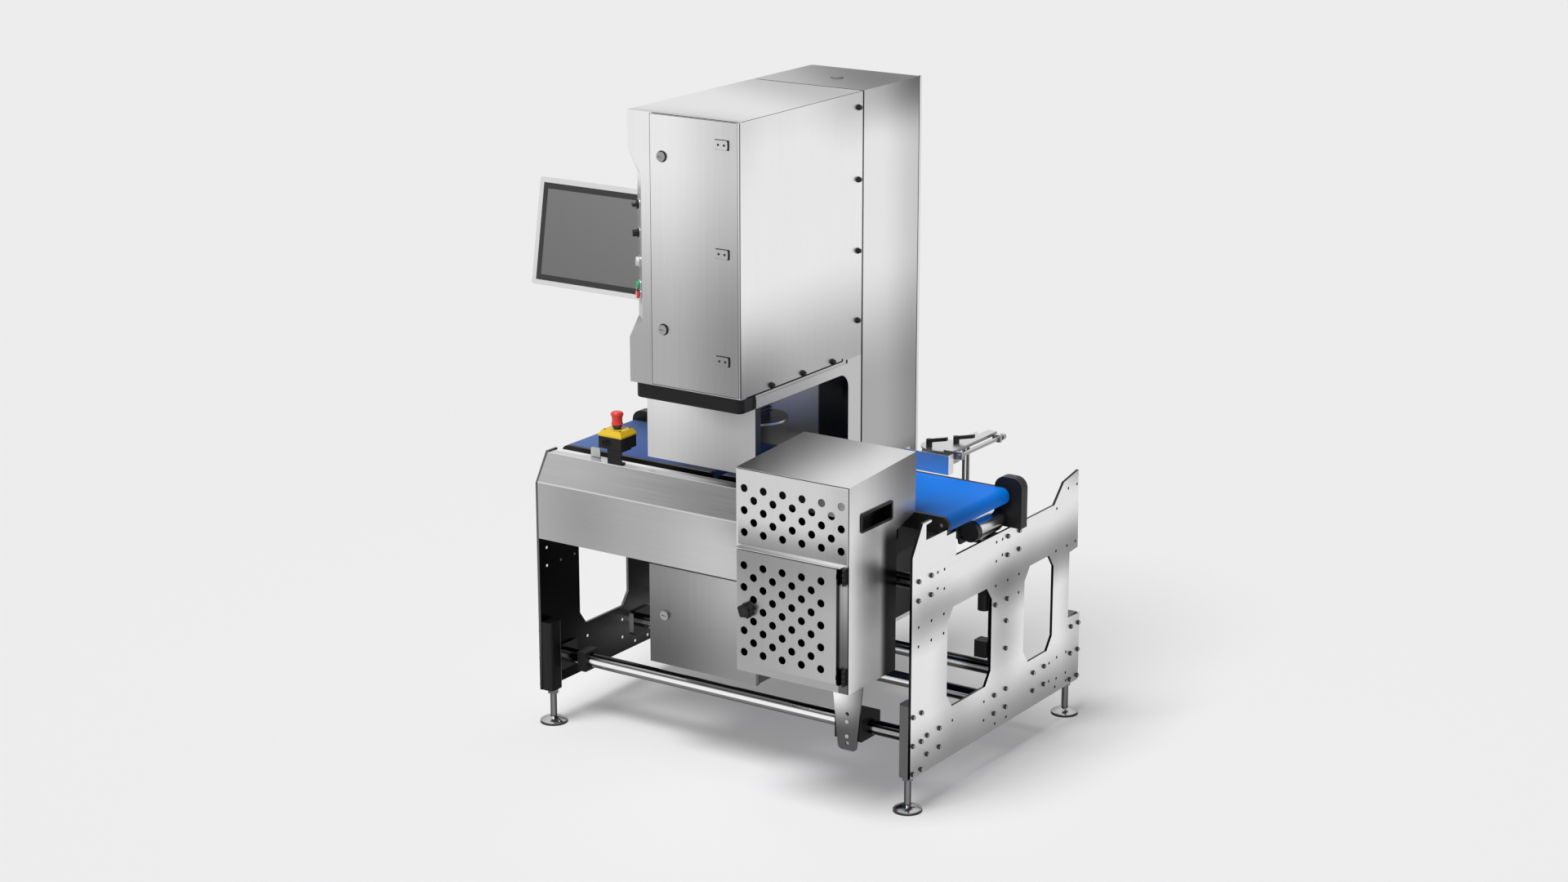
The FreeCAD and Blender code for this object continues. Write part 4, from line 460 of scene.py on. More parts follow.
# %% The bin's sheets
LEFT_WALL, RIGHT_WALL, INNER_FLOOR, BEHIND_FRONT = (192, 195), (545, 550), (420, 440), (-650, -640)
GAP_START, GAP_TOP, UPPER_PART = (-505, -462), (770, 850), (800, 900)
DOOR_FOOT, DOOR_TOP, STRIP_TOP, STRIP_FACE = (480, 700), (700, 701), (754, 756), (521, 524)
LOWER_HINGE_TOP, UPPER_HINGE_LOW, UPPER_HINGE_TOP = (464, 465), (707, 708), (753, 754)
FRONT_SHEET, STRIP_SIDE, DOOR_KNUCKLE = (-660.6, -660.4), (521, 521.5), (523.1, 523.3)
STRIP = both(under("y", *FRONT_SHEET), beyond("x", *STRIP_SIDE))
panels({
    "reject_bin": ("z", 230, [
        on(RIGHT, wash((1, 0.5, 0.72), (1, 0.5, 1), -34)),
        on(RIGHT, both(beyond("z", *UPPER_PART), wash((1, 0.1, 0.5), (1, 1, 0.5), -95))),
        on(RIGHT, both(beyond("y", *GAP_START), under("z", *GAP_TOP, -205))),
        on(RIGHT, under("x", *LEFT_WALL, -210)), on(LEFT, beyond("x", *RIGHT_WALL, -190)),
        on(TOP, wash((0.95, 0.5, 1), (-0.05, 0.5, 1), -92)),
        on(TOP, pool((0.75, 0.3, 1), (0.25, 0.3, 1), 10)),
        on(TOP, under("z", *INNER_FLOOR, -170)), on(FRONT, beyond("z", *DOOR_TOP, -30)),
        on(FRONT, under("z", *DOOR_FOOT, -70)), on(FRONT, beyond("y", *BEHIND_FRONT, -190)),
        on(FRONT, both(beyond("x", *STRIP_FACE), under("z", *STRIP_TOP, -64))), facing(BACK, -60),
        both(STRIP, under("z", *LOWER_HINGE_TOP, DARK)),
        both(STRIP, both(beyond("z", *UPPER_HINGE_LOW), under("z", *UPPER_HINGE_TOP, DARK)))]),
    "bin_screen": ("z", 203, [
        wash((0.5, 0, 0.42), (0.5, 0, 0), -56), wash((0.7, 0, 0.9), (1, 0, 0.9), -14)]),
    "bin_door": ("z", 158, [
        wash((0.5, 0, 0.55), (0.5, 0, 0.95), -16), wash((0, 0, 0.3), (1, 0, 0.1), 16),
        facing(RIGHT, -70), beyond("x", *DOOR_KNUCKLE, DARK)]),
    "bin_leg": ("z", 84, [
        both(wash((0.5, 0, 0.13), (0.5, 0, 0.47), 165), wash((1.2, 0, 0), (0.1, 0, 0), 1))]),
})

# %% [markdown]
# The cabinet and its door hang low in the machine's shade, so their base tones are painted dark for
# that shade and a wash paints light on them where light gets in. The pusher, the print unit, the load
# cell and the display's arm are small, and an even tone with the grain along each piece is all that
# shows, with a painted shade on two faces of the pusher's stand.

# %% Cabinet, pusher and inner parts
panels({
    "cabinet": ("z", 150, [facing(RIGHT, -50)]),
    "cabinet_door": ("z", 92, [wash((0, 0, 0.5), (0.9, 0, 0.5), 44), wash((0.5, 0, 0.05), (0.5, 0, 1), 40)]),
    "pusher_plate": ("x", 214, []),
    "pusher_stand": ("y", 206, [facing(RIGHT, -60), facing(FRONT, -60)]),
    "print_unit": ("z", 150, []),
    "load_cell": ("x", 170, []),
    "display_arm": ("x", 190, []),
})

# %% [markdown]
# The cross tubes are smooth drawn bars. A lying bar mirrors the room in long stripes: pale from the
# sky, dark from the machine above and from its own shadow below. Here the stripes are painted
# reflections and painted shadow, each a band of directions, so the stripes stay on the tube when the
# camera moves. The corner posts are dark D-shaped profiles with painted highlights on their tops and
# on the front of the right post.

# %% Tubes and posts
TUBE_SHADES = [
    round_band(0.84, 2, -196), round_band(0.62, 0.84, -66), round_band(0.40, 0.62, -140),
    round_band(-2, -0.15, -120), round_band(-2, -0.6, -60), beyond("x", 380, 440, -90),
    facing(RIGHT, -170), facing(LEFT, -170)]
POST_SHADES = [on(FRONT, beyond("x", 0, 10, 46)), facing(RIGHT, -10), facing(TOP, 40), facing(BACK, -30)]
dress("corner_posts", brushed_steel("post_steel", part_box("corner_posts"), "z", 48, POST_SHADES, 0.34))
dress("cross_tubes", brushed_steel("tube_steel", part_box("cross_tubes"), "x", 236, TUBE_SHADES, 0.16))
print("tube bands and shades", len(TUBE_SHADES), "post shades", len(POST_SHADES))

# %% [markdown]
# Rollers and locks are turned on a lathe or polished, so they are smoother than the sheets and
# mirror the studio itself. A little dirt in the colour and fine turning lines in the roughness keep
# them from looking like chrome.

# %% Turned and polished steel
def polished_steel(title, tone, rough, grain):
    f = Finish(title)
    lines = f.noise(1.0, 2.0, grain)
    dirt = f.noise(9.0, 3.0)
    f.set(Base_Color=f.blend(dirt, grey(tone * 0.82), grey(tone)), Metallic=1.0,
          Roughness=rough + lines * 0.06, Normal=f.bump(lines, 0.02))
    return f.material


ROLLERS = ("weigh_drive_roller", "weigh_idle_roller", "outfeed_drive_roller", "outfeed_idle_roller")
LOCKS = ("head_lock_upper", "head_lock_lower", "cabinet_lock")
for name in ROLLERS:
    dress(name, polished_steel("roller_steel_" + name, 0.55, 0.25, (700, 6, 700)))
for name in LOCKS:
    dress(name, polished_steel("lock_steel_" + name, 0.42, 0.2, (300, 300, 300)))
print("polished:", ", ".join(ROLLERS + LOCKS))

# %% [markdown]
# Each levelling foot is a polished dome on a black rubber ring. The dome's colour is painted pale
# where it faces the light and dark elsewhere, a painted highlight. Two materials on one piece would
# need its faces sorted by hand. One finish with a mask at the ring's top edge does both.

# %% Feet
FOOT_PAD_TOP = 0.005
EDGE_SOFT = 0.0003
DOME_LIGHT = (0.35, -0.55, 0.76)


def foot_finish(title):
    f = Finish(title)
    rubber = 1 - f.step(f.z, FOOT_PAD_TOP - EDGE_SOFT, FOOT_PAD_TOP + EDGE_SOFT)
    fine = f.noise(900.0)
    # Painted highlight: the dome is pale where it faces the light and dark elsewhere.
    dome = f.blend(f.step(f.vector("DOT_PRODUCT", f.normal, DOME_LIGHT), 0.4, 1.05), grey(0.06), grey(0.62))
    f.set(Base_Color=f.blend(rubber, dome, grey(0.012)), Metallic=1 - rubber,
          Roughness=0.14 + rubber * 0.5 + fine * 0.05, Normal=f.bump(fine, 0.04))
    return f.material


feet = [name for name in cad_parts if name.startswith("foot_")]
for name in feet:
    dress(name, foot_finish("finish_" + name))
print("feet", len(feet))

# %% [markdown]
# Black parts are of two kinds: moulded plastic with the fine grain of a spark-eroded mould, and
# painted steel, which is smoother and a little glossier. Both are one recipe with other numbers. Very
# dark pieces get less sheen, or the pale studio would turn them grey.

# %% Plastics and paint
BLACK_BELOW = 0.1
BLACK_SHEEN, PLAIN_SHEEN = 0.22, 0.5


def plastic(title, colour, rough, grain=0.08, coat=0.0, spread=0.25, glow=0.0):
    f = Finish(title)
    fine = f.noise(1400.0)
    patch = f.noise(18.0, 3.0)
    darker = tuple(c * (1 - spread) for c in colour)
    f.set(Base_Color=f.blend(patch, darker, colour), Roughness=rough + (fine - 0.5) * 0.12 + patch * 0.05,
          Normal=f.bump(fine, grain), Coat_Weight=coat,
          Specular_IOR_Level=BLACK_SHEEN if max(colour) < BLACK_BELOW else PLAIN_SHEEN)
    if glow:
        f.set(Emission_Color=(1, 1, 1, 1), Emission_Strength=glow)
    return f.material


BLACKS = {"clamp_blocks": (0.016, 0.5), "conveyor_frame": (0.014, 0.36),
          "drive_housings": (0.014, 0.34), "estop_bracket": (0.010, 0.4), "estop_box": (0.013, 0.48),
          "selector_switch": (0.015, 0.35), "dial_knob": (0.015, 0.35), "head_skirt": (0.007, 0.34),
          "bin_knob": (0.014, 0.38), "bin_grip": (0.008, 0.22), "clamp_lever_front": (0.016, 0.4),
          "clamp_lever_back": (0.016, 0.4), "valve_block": (0.008, 0.45)}
for name, (tone, rough) in BLACKS.items():
    dress(name, plastic("black_" + name, grey(tone), rough))
dress("estop_lid", plastic("yellow_plastic", (0.93, 0.62, 0.012), 0.36, 0.06))
# The white, green and red buttons below glow faintly, which is painted light on them.
dress("white_button", plastic("white_plastic", (0.82, 0.83, 0.80), 0.25, 0.02, 0.3, 0.05))
dress("start_button", plastic("green_plastic", (0.02, 0.42, 0.14), 0.25, 0.02, 0.3, 0.1))
dress("stop_button", plastic("red_button_plastic", (0.72, 0.03, 0.02), 0.25, 0.02, 0.3, 0.1))
print("black parts", len(BLACKS), "and 4 coloured ones")

# %% [markdown]
# The emergency stop's mushroom is moulded in red and sits on a black collar. A mask at the collar's
# top edge separates them, measured down from the top of the piece.

# %% Emergency stop button
MUSHROOM_H = 0.038
COLLAR_SOFT = 0.0002


def mushroom(title, collar_top):
    f = Finish(title)
    black = 1 - f.step(f.z, collar_top - COLLAR_SOFT, collar_top + COLLAR_SOFT)
    fine = f.noise(1200.0)
    f.set(Base_Color=f.blend(black, (0.80, 0.035, 0.02), grey(0.02)), Roughness=0.32 + fine * 0.1,
          Normal=f.bump(fine, 0.05), Coat_Weight=0.2)
    return f.material


collar_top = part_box("estop_button")[1][2] - MUSHROOM_H
dress("estop_button", mushroom("red_mushroom", collar_top))
print("collar top", round(collar_top, 4))

# %% [markdown]
# The belts are blue food-grade belting: a satin face with a faint print of the cloth inside. Two
# crossed waves give that print as a bump. The outfeed belt is lit more strongly than the weighing
# belt in the head's shade, and this light and shade is painted: one finish blends a lit and a shaded
# pair of blues at the gap between the belts. The lit pair is painted paler towards the belt's back,
# the shaded pair paler towards the weighing belt's open end.

# %% Belts
BELT_GAP = -129.0
WEAVE = 190.0
BELT_BACK = (0.02, 0.06)
BELT_END = 0.25
LIT_BLUES = ((0.0, 0.115, 0.47), (0.0, 0.20, 0.82))
SHADED_BLUES = ((0.035, 0.09, 0.30), (0.09, 0.165, 0.40))


def belting(title, gap):
    """Belting painted lit beyond the gap and painted shaded before it."""
    f = Finish(title)
    across, along = (f.node("ShaderNodeTexWave", {"bands_direction": way},
                            {"Vector": f.place, "Scale": WEAVE}) for way in "XY")
    low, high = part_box("conveyor_belts")
    back = f.step(f.y, low[1] + BELT_BACK[0], high[1] - BELT_BACK[1])
    end = f.step(f.x, low[0] + BELT_END, low[0])
    patch = f.noise(5.0, 3.0)
    # Painted light and shade: lit blues beyond the gap, shaded blues before it, each with a painted gradient.
    colour = f.blend(f.step(f.x, gap, gap + 0.001), f.blend(end, *SHADED_BLUES), f.blend(back, *LIT_BLUES))
    f.set(Base_Color=colour, Roughness=0.46 + patch * 0.1, Normal=f.bump(across * along, 0.06),
          Specular_IOR_Level=0.12)
    return f.material


dress("conveyor_belts", belting("blue_belting", at(BELT_GAP, 0, 0).x))
print("belts part at x", round(at(BELT_GAP, 0, 0).x, 4))

# %% [markdown]
# The drum motors are ground steel tubes with a black end cap at the front. The cap is a mask along
# the axis, and the tube's colour is painted darker below, a painted reflection of the floor in the
# machine's shadow.

# %% Motors
MOTOR_CAP = 0.020
TUBE_LIGHT = (0.45, 0, 0.89)


def motor_finish(title, cap_back):
    f = Finish(title)
    cap = 1 - f.step(f.y, cap_back - EDGE_SOFT, cap_back + EDGE_SOFT)
    ground = f.noise(1.0, 2.0, (500, 12, 500))
    # Painted reflection: the tube is pale where it faces up and dark where it faces down.
    tube = f.blend(f.step(f.vector("DOT_PRODUCT", f.normal, TUBE_LIGHT), 0.1, 0.9), grey(0.2), grey(0.86))
    f.set(Base_Color=f.blend(cap, tube, grey(0.015)), Metallic=1 - cap,
          Roughness=0.16 + cap * 0.25 + ground * 0.08, Normal=f.bump(ground, 0.03))
    return f.material


cap_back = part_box("drive_motors")[0][1] + MOTOR_CAP
dress("drive_motors", motor_finish("motor_steel", cap_back))
print("motor cap ends at y", round(cap_back, 4))

# %% [markdown]
# The display has a satin case round one pane of glass with a printed black border. The screen is
# switched off, and its grey is painted a little paler towards the top right, a painted reflection.
# Border and screen could be two pieces. A mask on the pane's own place is flatter, as print on glass
# is, and it swings with the display.

# %% Display
BORDER = 0.0175
BORDER_SOFT = 0.0006
SCREEN_SLOPE = 0.35


def satin_case(title, tone):
    f = Finish(title)
    fine = f.noise(700.0)
    patch = f.noise(4.0)
    f.set(Base_Color=f.blend(patch, grey(tone * 0.93), grey(tone)), Metallic=0.35,
          Roughness=0.38 + fine * 0.08, Normal=f.bump(fine, 0.03))
    return f.material


def screen_pane(title, low, high):
    f = Finish(title)
    screen = 1.0
    for place, i in ((f.x, 0), (f.z, 2)):
        first, last = low[i] + BORDER, high[i] - BORDER
        screen = screen * f.step(place, first - BORDER_SOFT, first)
        screen = screen * (1 - f.step(place, last, last + BORDER_SOFT))
    # A painted reflection: the screen's grey is paler towards the top right.
    screen_reflection = f.step(f.z + f.x * SCREEN_SLOPE, low[2] + low[0] * SCREEN_SLOPE, high[2] + high[0] * SCREEN_SLOPE)
    smear = f.noise(6.0, 3.0)
    f.set(Base_Color=f.blend(screen, grey(0.012), f.blend(screen_reflection, grey(0.148), grey(0.190))),
          Roughness=0.22 + screen * 0.16 + smear * 0.05, Coat_Weight=0.25, Coat_Roughness=0.08)
    return f.material


dress("display_housing", satin_case("display_case", 0.78))
dress("display_glass", screen_pane("display_pane", *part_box("display_glass")))
print("screen border", BORDER * 1000, "mm")

# %% [markdown]
# A reel of labels shows the edges of its paper as fine rings round the core. A sine of the distance
# from the reel's axis draws them, which no image could do as evenly.

# %% Paper reels
RING_RATE = 4200.0
REELS = ("label_reel", "liner_reel")


def paper_reel(title, node):
    f = Finish(title)
    low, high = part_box(node)
    middle = [(low[i] + high[i]) / 2 for i in range(3)]
    away = f.vector("MULTIPLY", f.vector("SUBTRACT", f.place, middle), (1, 0, 1))
    rings = f.node("ShaderNodeMath", {"operation": "SINE"}, {0: f.vector("LENGTH", away) * RING_RATE})
    f.set(Base_Color=f.blend(rings * 0.5 + 0.5, grey(0.70, 0.03), grey(0.82, 0.03)), Roughness=0.75,
          Normal=f.bump(rings, 0.1))
    return f.material


for name in REELS:
    dress(name, paper_reel("paper_" + name, name))
print("paper:", ", ".join(REELS))

# %% [markdown]
# The applicator ram presses the label on. From below it is a pale disc, a dark ribbed block and a
# steel rod, turned and screwed together. Two masks by height tell the three parts apart.

# %% Ram
DISC_T, BLOCK_H = 0.006, 0.070
RAM_BLUE_BLACK = (0.012, 0.02, 0.06)


def ram_finish(title, disc_top, block_top):
    f = Finish(title)
    above_disc, above_block = (f.step(f.z, top - EDGE_SOFT, top + EDGE_SOFT) for top in (disc_top, block_top))
    fine = f.noise(500.0)
    colour = f.blend(above_block, f.blend(above_disc, grey(0.5), RAM_BLUE_BLACK), grey(0.7))
    f.set(Base_Color=colour, Metallic=above_block + (1 - above_disc), Roughness=0.28 + fine * 0.1,
          Normal=f.bump(fine, 0.04))
    return f.material


disc_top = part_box("applicator")[0][2] + DISC_T
dress("applicator", ram_finish("ram", disc_top, disc_top + BLOCK_H))
print("ram disc top", round(disc_top, 4))

# %% [markdown]
# Small parts are built as meshes. They share a few finishes: a black for a painted shadow, black
# plastic, a black for dark parts and for the painted shade inside holes and gaps, a faint glow that is
# painted light falling through a hole, and three kinds of steel. A finish for every screw would be
# wasted work, because screws out of one box look alike.

# %% Finishes of the small parts
# The first black below paints the shadow round the door's hinge plates.
painted_shadow_black = plastic("painted_shadow_black", grey(0.014), 0.55, 0.12)
black_part = plastic("black_part", grey(0.02), 0.38)
# The hole black paints the shade inside holes, pockets, slots and gaps, and also colours some black parts.
# The hole light glows: painted light falling through a hole.
hole_shade_black = plastic("hole_shade_black", grey(0.006), 0.8, 0.02)
hole_light = plastic("hole_light", grey(0.6), 0.8, 0.02, glow=0.5)
screw_steel = polished_steel("screw_steel", 0.62, 0.22, (400, 400, 400))
plate_grey = polished_steel("plate_grey", 0.42, 0.32, (300, 300, 6))
dark_steel = polished_steel("dark_steel", 0.05, 0.3, (400, 400, 400))
print("materials so far", len(bpy.data.materials))

# %% [markdown]
# One helper turns a mesh under construction into an object with its finish. A second one shades it
# smooth, rounds its edges with a bevel where that would show, as no real edge is sharp, and lets it
# ride on its body, so that a screw on a door swings with the door.

# %% Making pieces
def placed(name, mesh, material):
    """Put a mesh under construction into the scene."""
    data = bpy.data.meshes.new(name)
    mesh.to_mesh(data)
    mesh.free()
    data.materials.append(material)
    made = bpy.data.objects.new(name, data)
    bpy.context.scene.collection.objects.link(made)
    return made


def piece(name, mesh, material, body="frame", bevel=0.0):
    """Make a piece that rides on a body of the machine."""
    made = placed(name, mesh, material)
    for face in made.data.polygons:
        face.use_smooth = True
    if bevel:
        rounding = made.modifiers.new("rounding", "BEVEL")
        rounding.width = bevel
        rounding.segments = 3
        rounding.limit_method = "ANGLE"
    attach(made, body)
    print("made", name, "with", len(made.data.polygons), "faces on", body)


# %% [markdown]
# Nearly every small part is a box or a turned body. A box is given by two corners on the drawing. A
# turned body is given by its profile, as on a lathe: pairs of radius and height round an axis.

# %% Boxes and turned bodies
def block(mesh, low, high):
    """Add a box between two drawing places."""
    a, b = at(*low), at(*high)
    made = bmesh.ops.create_cube(mesh, size=1.0)["verts"]
    bmesh.ops.scale(mesh, vec=b - a, verts=made)
    bmesh.ops.translate(mesh, vec=(a + b) / 2, verts=made)


def turned(mesh, centre, axis, profile, steps):
    """Add a turned body: a profile of (radius, height) points round an axis through a drawing place."""
    place = at(*centre)
    turn = Vector(TOP).rotation_difference(Vector(axis).normalized()).to_matrix()
    rings = []
    for radius, height in profile:
        ring = []
        for i in range(steps if radius else 1):
            a = 2 * math.pi * i / steps
            spoke = Vector((radius * math.cos(a), radius * math.sin(a), height)) / 1000
            ring.append(mesh.verts.new(place + turn @ spoke))
        rings.append(ring)
    for lower, upper in zip(rings, rings[1:]):
        for i in range(steps):
            j = (i + 1) % steps
            corners = [lower[i % len(lower)], lower[j % len(lower)],
                       upper[j % len(upper)], upper[i % len(upper)]]
            unique = list(dict.fromkeys(corners))
            if len(unique) > 2:
                mesh.faces.new(unique)
    if len(rings[0]) > 1:
        mesh.faces.new(rings[0][::-1])
    if len(rings[-1]) > 1:
        mesh.faces.new(rings[-1])
    bmesh.ops.recalc_face_normals(mesh, faces=mesh.faces)


# %% [markdown]
# The side plates carry rows of cap screws. Four of them hold each cross tube's flange, and between the
# rows are many small unused holes. Their places are read off one plate as depth and height, and both
# plates use the same lists, as they would on one cutting drawing.

# %% Where the plates' screws and holes are
SCREW_SIDE = ((7.6, 0.0), (7.6, 0.8), (6.4, 1.0), (6.4, 5.2), (5.4, 6.2))
SCREW_CAP = ((5.4, 6.2), (4.6, 6.6), (2.9, 6.7), (2.7, 5.2), (0, 5.1))
SMALL_HOLE = ((4.4, 0.0), (4.4, 0.12), (0, 0.13))
FLANGES = ((-363, 183), (11.5, 184), (240, 183), (-418, 649), (72, 649))
FLANGE_SCREW = (33, 28)
SINGLE_SCREWS = ((-473, 288), (-473, 203), (-473, 120), (-428, 288), (-428, 203), (-428, 120), (480, 288),
                 (480, 203), (480, 120), (435, 288), (435, 203), (435, 120), (-25, 488), (43, 488), (39, 422),
                 (39, 338))
SMALL_HOLES = ((-314, 675), (-314, 619), (-350, 676), (-350, 629), (-449, 544), (-449, 488), (-25, 676),
               (-25, 619), (-25, 545), (43, 544), (109, 544), (109, 488), (9, 676), (9, 629), (329, 554),
               (396, 553), (448, 553), (396, 730), (449, 730), (328, 685), (350, 216), (304, 211), (350, 149),
               (304, 154), (407, 216), (407, 150), (411, 124), (344, 124), (-81, 211), (-81, 154), (-16, 123),
               (50, 123), (-258, 211))
SCREWS = [(y + a * FLANGE_SCREW[0], z + b * FLANGE_SCREW[1])
          for y, z in FLANGES for a in (-1, 1) for b in (-1, 1)]
SCREWS += SINGLE_SCREWS
print("screws per plate", len(SCREWS), "small holes per plate", len(SMALL_HOLES))

# %% [markdown]
# A cap screw has a bright cap with a socket in it, and its side is given a dark steel that is painted
# shade, so caps and sides are two meshes with a finish each. A hole cut through the plate would add
# nothing at this size. Each hole is a thin dark disc outside, the painted shade of its unlit inside,
# and on the inner face, where daylight shines through, a disc that glows faintly, a painted light.

# %% Screws and holes of the side plates
PLATE_OUT = 648.0
PLATE_T = 8.0
SCREW_STEPS, HOLE_STEPS = 16, 14
for side, word in ((1, "right"), (-1, "left")):
    outwards = (side, 0, 0)
    sides, caps, outer, inner = (bmesh.new() for _ in range(4))
    for y, z in SCREWS:
        # The dark steel on the screws' sides is painted shade.
        turned(sides, (side * PLATE_OUT, y, z), outwards, SCREW_SIDE, SCREW_STEPS)
        turned(caps, (side * PLATE_OUT, y, z), outwards, SCREW_CAP, SCREW_STEPS)
    # Dark outer discs are painted shade inside the holes; glowing inner discs are painted light through them.
    for y, z in SMALL_HOLES:
        turned(outer, (side * PLATE_OUT, y, z), outwards, SMALL_HOLE, HOLE_STEPS)
        turned(inner, (side * (PLATE_OUT - PLATE_T), y, z), (-side, 0, 0), SMALL_HOLE, HOLE_STEPS)
    piece("plate_screws_" + word, sides, dark_steel)
    piece("plate_screw_caps_" + word, caps, screw_steel)
    piece("plate_holes_" + word, outer, hole_shade_black)
    piece("plate_hole_light_" + word, inner, hole_light)

# %% [markdown]
# The head's side panel is held by black quarter-turn knobs along its back and lower edges. None of
# them moves by itself, so one mesh holds all seven. A rubber strip seals the corner between the door
# and the panel. It is two boxes that form an L, which stays clear of the door's edge as it swings: the
# narrow lip is the seal, and the dark base across the gap's bottom is painted shade for the deep gap.

# %% Side panel knobs and door seal
KNOB = ((9.0, 0.0), (9.0, 3.0), (7.0, 3.2), (7.0, 9.0), (5.5, 10.5), (0, 10.5))
HEAD_RIGHT, HEAD_FRONT, HEAD_LOW, HEAD_HIGH = 65.0, -454.0, 1102.0, 1886.0
BACK_KNOBS = [(149, z) for z in (1841, 1630, 1419, 1210)]
LOW_KNOBS = [(y, 1113) for y in (-303, -142, 15)]
knobs = bmesh.new()
for y, z in BACK_KNOBS + LOW_KNOBS:
    turned(knobs, (HEAD_RIGHT, y, z), RIGHT, KNOB, 20)
piece("panel_knobs", knobs, black_part)

seal = bmesh.new()
# The second box is the dark base, painted shade at the bottom of the deep gap.
for left, front, back in ((61.0, -0.6, 13), (55.8, 13, 15)):
    block(seal, (left, HEAD_FRONT + front, HEAD_LOW + 3),
          (HEAD_RIGHT - 2.2, HEAD_FRONT + back, HEAD_HIGH - 3))
piece("door_seal", seal, hole_shade_black, bevel=0.0005)

# %% [markdown]
# Boxes of sheet metal show a fine dark line where two sheets meet. A groove cut into the solids
# would need many thin faces. A dark strip that stands less than a millimetre proud reads the same:
# round the head's roof, under its side panel, beside the column's cover and on the bin's corner.

# %% Seams
BIN_LEFT, BIN_RIGHT, BIN_FRONT, BIN_LOW, BIN_HIGH = 188.0, 555.0, -660.0, 393.0, 980.0
SEAMS = (
    ((HEAD_RIGHT - 1.0, HEAD_FRONT + 6, HEAD_HIGH - 0.9), (HEAD_RIGHT + 0.15, 177, HEAD_HIGH + 0.1)),
    ((-232, HEAD_FRONT - 0.1, HEAD_HIGH - 2.2), (HEAD_RIGHT - 3, HEAD_FRONT + 1.2, HEAD_HIGH - 0.2)),
    ((HEAD_RIGHT - 1, -428, HEAD_LOW - 1.5), (HEAD_RIGHT + 0.5, 72, HEAD_LOW + 2.6)),
    ((HEAD_RIGHT - 1, 66, HEAD_LOW - 1.5), (HEAD_RIGHT + 0.5, 72, HEAD_LOW + 8)),
    ((HEAD_RIGHT - 1, 486.0, 600), (HEAD_RIGHT + 0.2, 489.0, 1888.6)),
    ((BIN_LEFT + 1, BIN_FRONT - 0.15, BIN_HIGH - 3.2), (BIN_RIGHT - 1, BIN_FRONT + 0.6, BIN_HIGH - 1.0)),
    ((BIN_RIGHT - 3.8, BIN_FRONT - 0.15, BIN_LOW + 1), (BIN_RIGHT - 1, BIN_FRONT + 0.6, BIN_HIGH - 3.2)),
)
seams = bmesh.new()
for low, high in SEAMS:
    block(seams, low, high)
piece("sheet_seams", seams, hole_shade_black)

# %% [markdown]
# The door's hinge plates are each held by two screws. Under each plate lies a black block a little
# larger than the plate, which shows as a thin outline: a painted shadow round the plate's edges. The
# two locks sit in black rings. A line drawn on the door would do for the outline from the front, but a
# thin body shows from the side too. All of these pieces ride on the door.

# %% Hinge screws and lock rings of the door
HINGE_SCREW = ((3.4, 0.0), (3.4, 0.8), (2.4, 1.6), (1.3, 1.7), (1.2, 0.6), (0, 0.5))
LOCK_RING = ((16.5, 0.0), (16.5, 1.6), (14.4, 1.8), (14.4, 0.0))
HINGE_FACE = HEAD_FRONT - 5.0
HINGE_X, HINGE_HEIGHTS = (-6, 14), (1818, 1512, 1206)
HINGE_SHADOW_X, HINGE_SHADOW_HALF, HINGE_SHADOW_T = (-18.5, 27.5), 14.5, 1.2
LOCK_X, LOCK_HEIGHTS = -200, (1765, 1270)
screws, hinge_shadow_blocks, rings = bmesh.new(), bmesh.new(), bmesh.new()
for z in HINGE_HEIGHTS:
    for x in HINGE_X:
        turned(screws, (x, HINGE_FACE, z), FRONT, HINGE_SCREW, 14)
    # A black block under each hinge plate: a painted shadow round its edges.
    block(hinge_shadow_blocks, (HINGE_SHADOW_X[0], HEAD_FRONT - HINGE_SHADOW_T, z - HINGE_SHADOW_HALF),
          (HINGE_SHADOW_X[1], HEAD_FRONT, z + HINGE_SHADOW_HALF))
for z in LOCK_HEIGHTS:
    turned(rings, (LOCK_X, HEAD_FRONT, z), FRONT, LOCK_RING, 28)
piece("hinge_screws", screws, black_part, body="head_door")
piece("hinge_shadows", hinge_shadow_blocks, painted_shadow_black, body="head_door", bevel=0.004)
piece("lock_rings", rings, black_part, body="head_door")

# %% [markdown]
# The bin's hinges are moulded blocks with open pockets, which save plastic. The fixed half stands
# beside the pin. Pockets that are cut out would need many more faces to look the same at this size, so
# they are flat dark boxes on its front and right face, painted shade for the pockets' unlit insides.

# %% Hinge covers of the bin
POCKET_HEIGHTS, POCKET_H = (4, 18, 32), 8
for word, low in (("lower", 420.0), ("upper", 708.5)):
    cover, pockets = bmesh.new(), bmesh.new()
    block(cover, (541.5, -675, low - 2), (548.6, -660, low + 45.5))
    for z in (low + rise for rise in POCKET_HEIGHTS):
        # Flat dark boxes: painted shade inside the pockets.
        block(pockets, (542.8, -675.4, z), (547.2, -674.9, z + POCKET_H))
        block(pockets, (548.5, -672, z), (549.0, -664, z + POCKET_H))
    piece("hinge_cover_" + word, cover, black_part, bevel=0.0012)
    piece("hinge_pockets_" + word, pockets, hole_shade_black)

# %% [markdown]
# The leg plate under the bin is screwed to its clamp between two open holes. The knob of the bin's
# door has a lock barrel with a key slot in its face. A mask on the knob could draw both, but a low
# turned body catches light along its rim, and it turns with the knob all the same. The slot is a thin
# black box, painted shade for its depth.

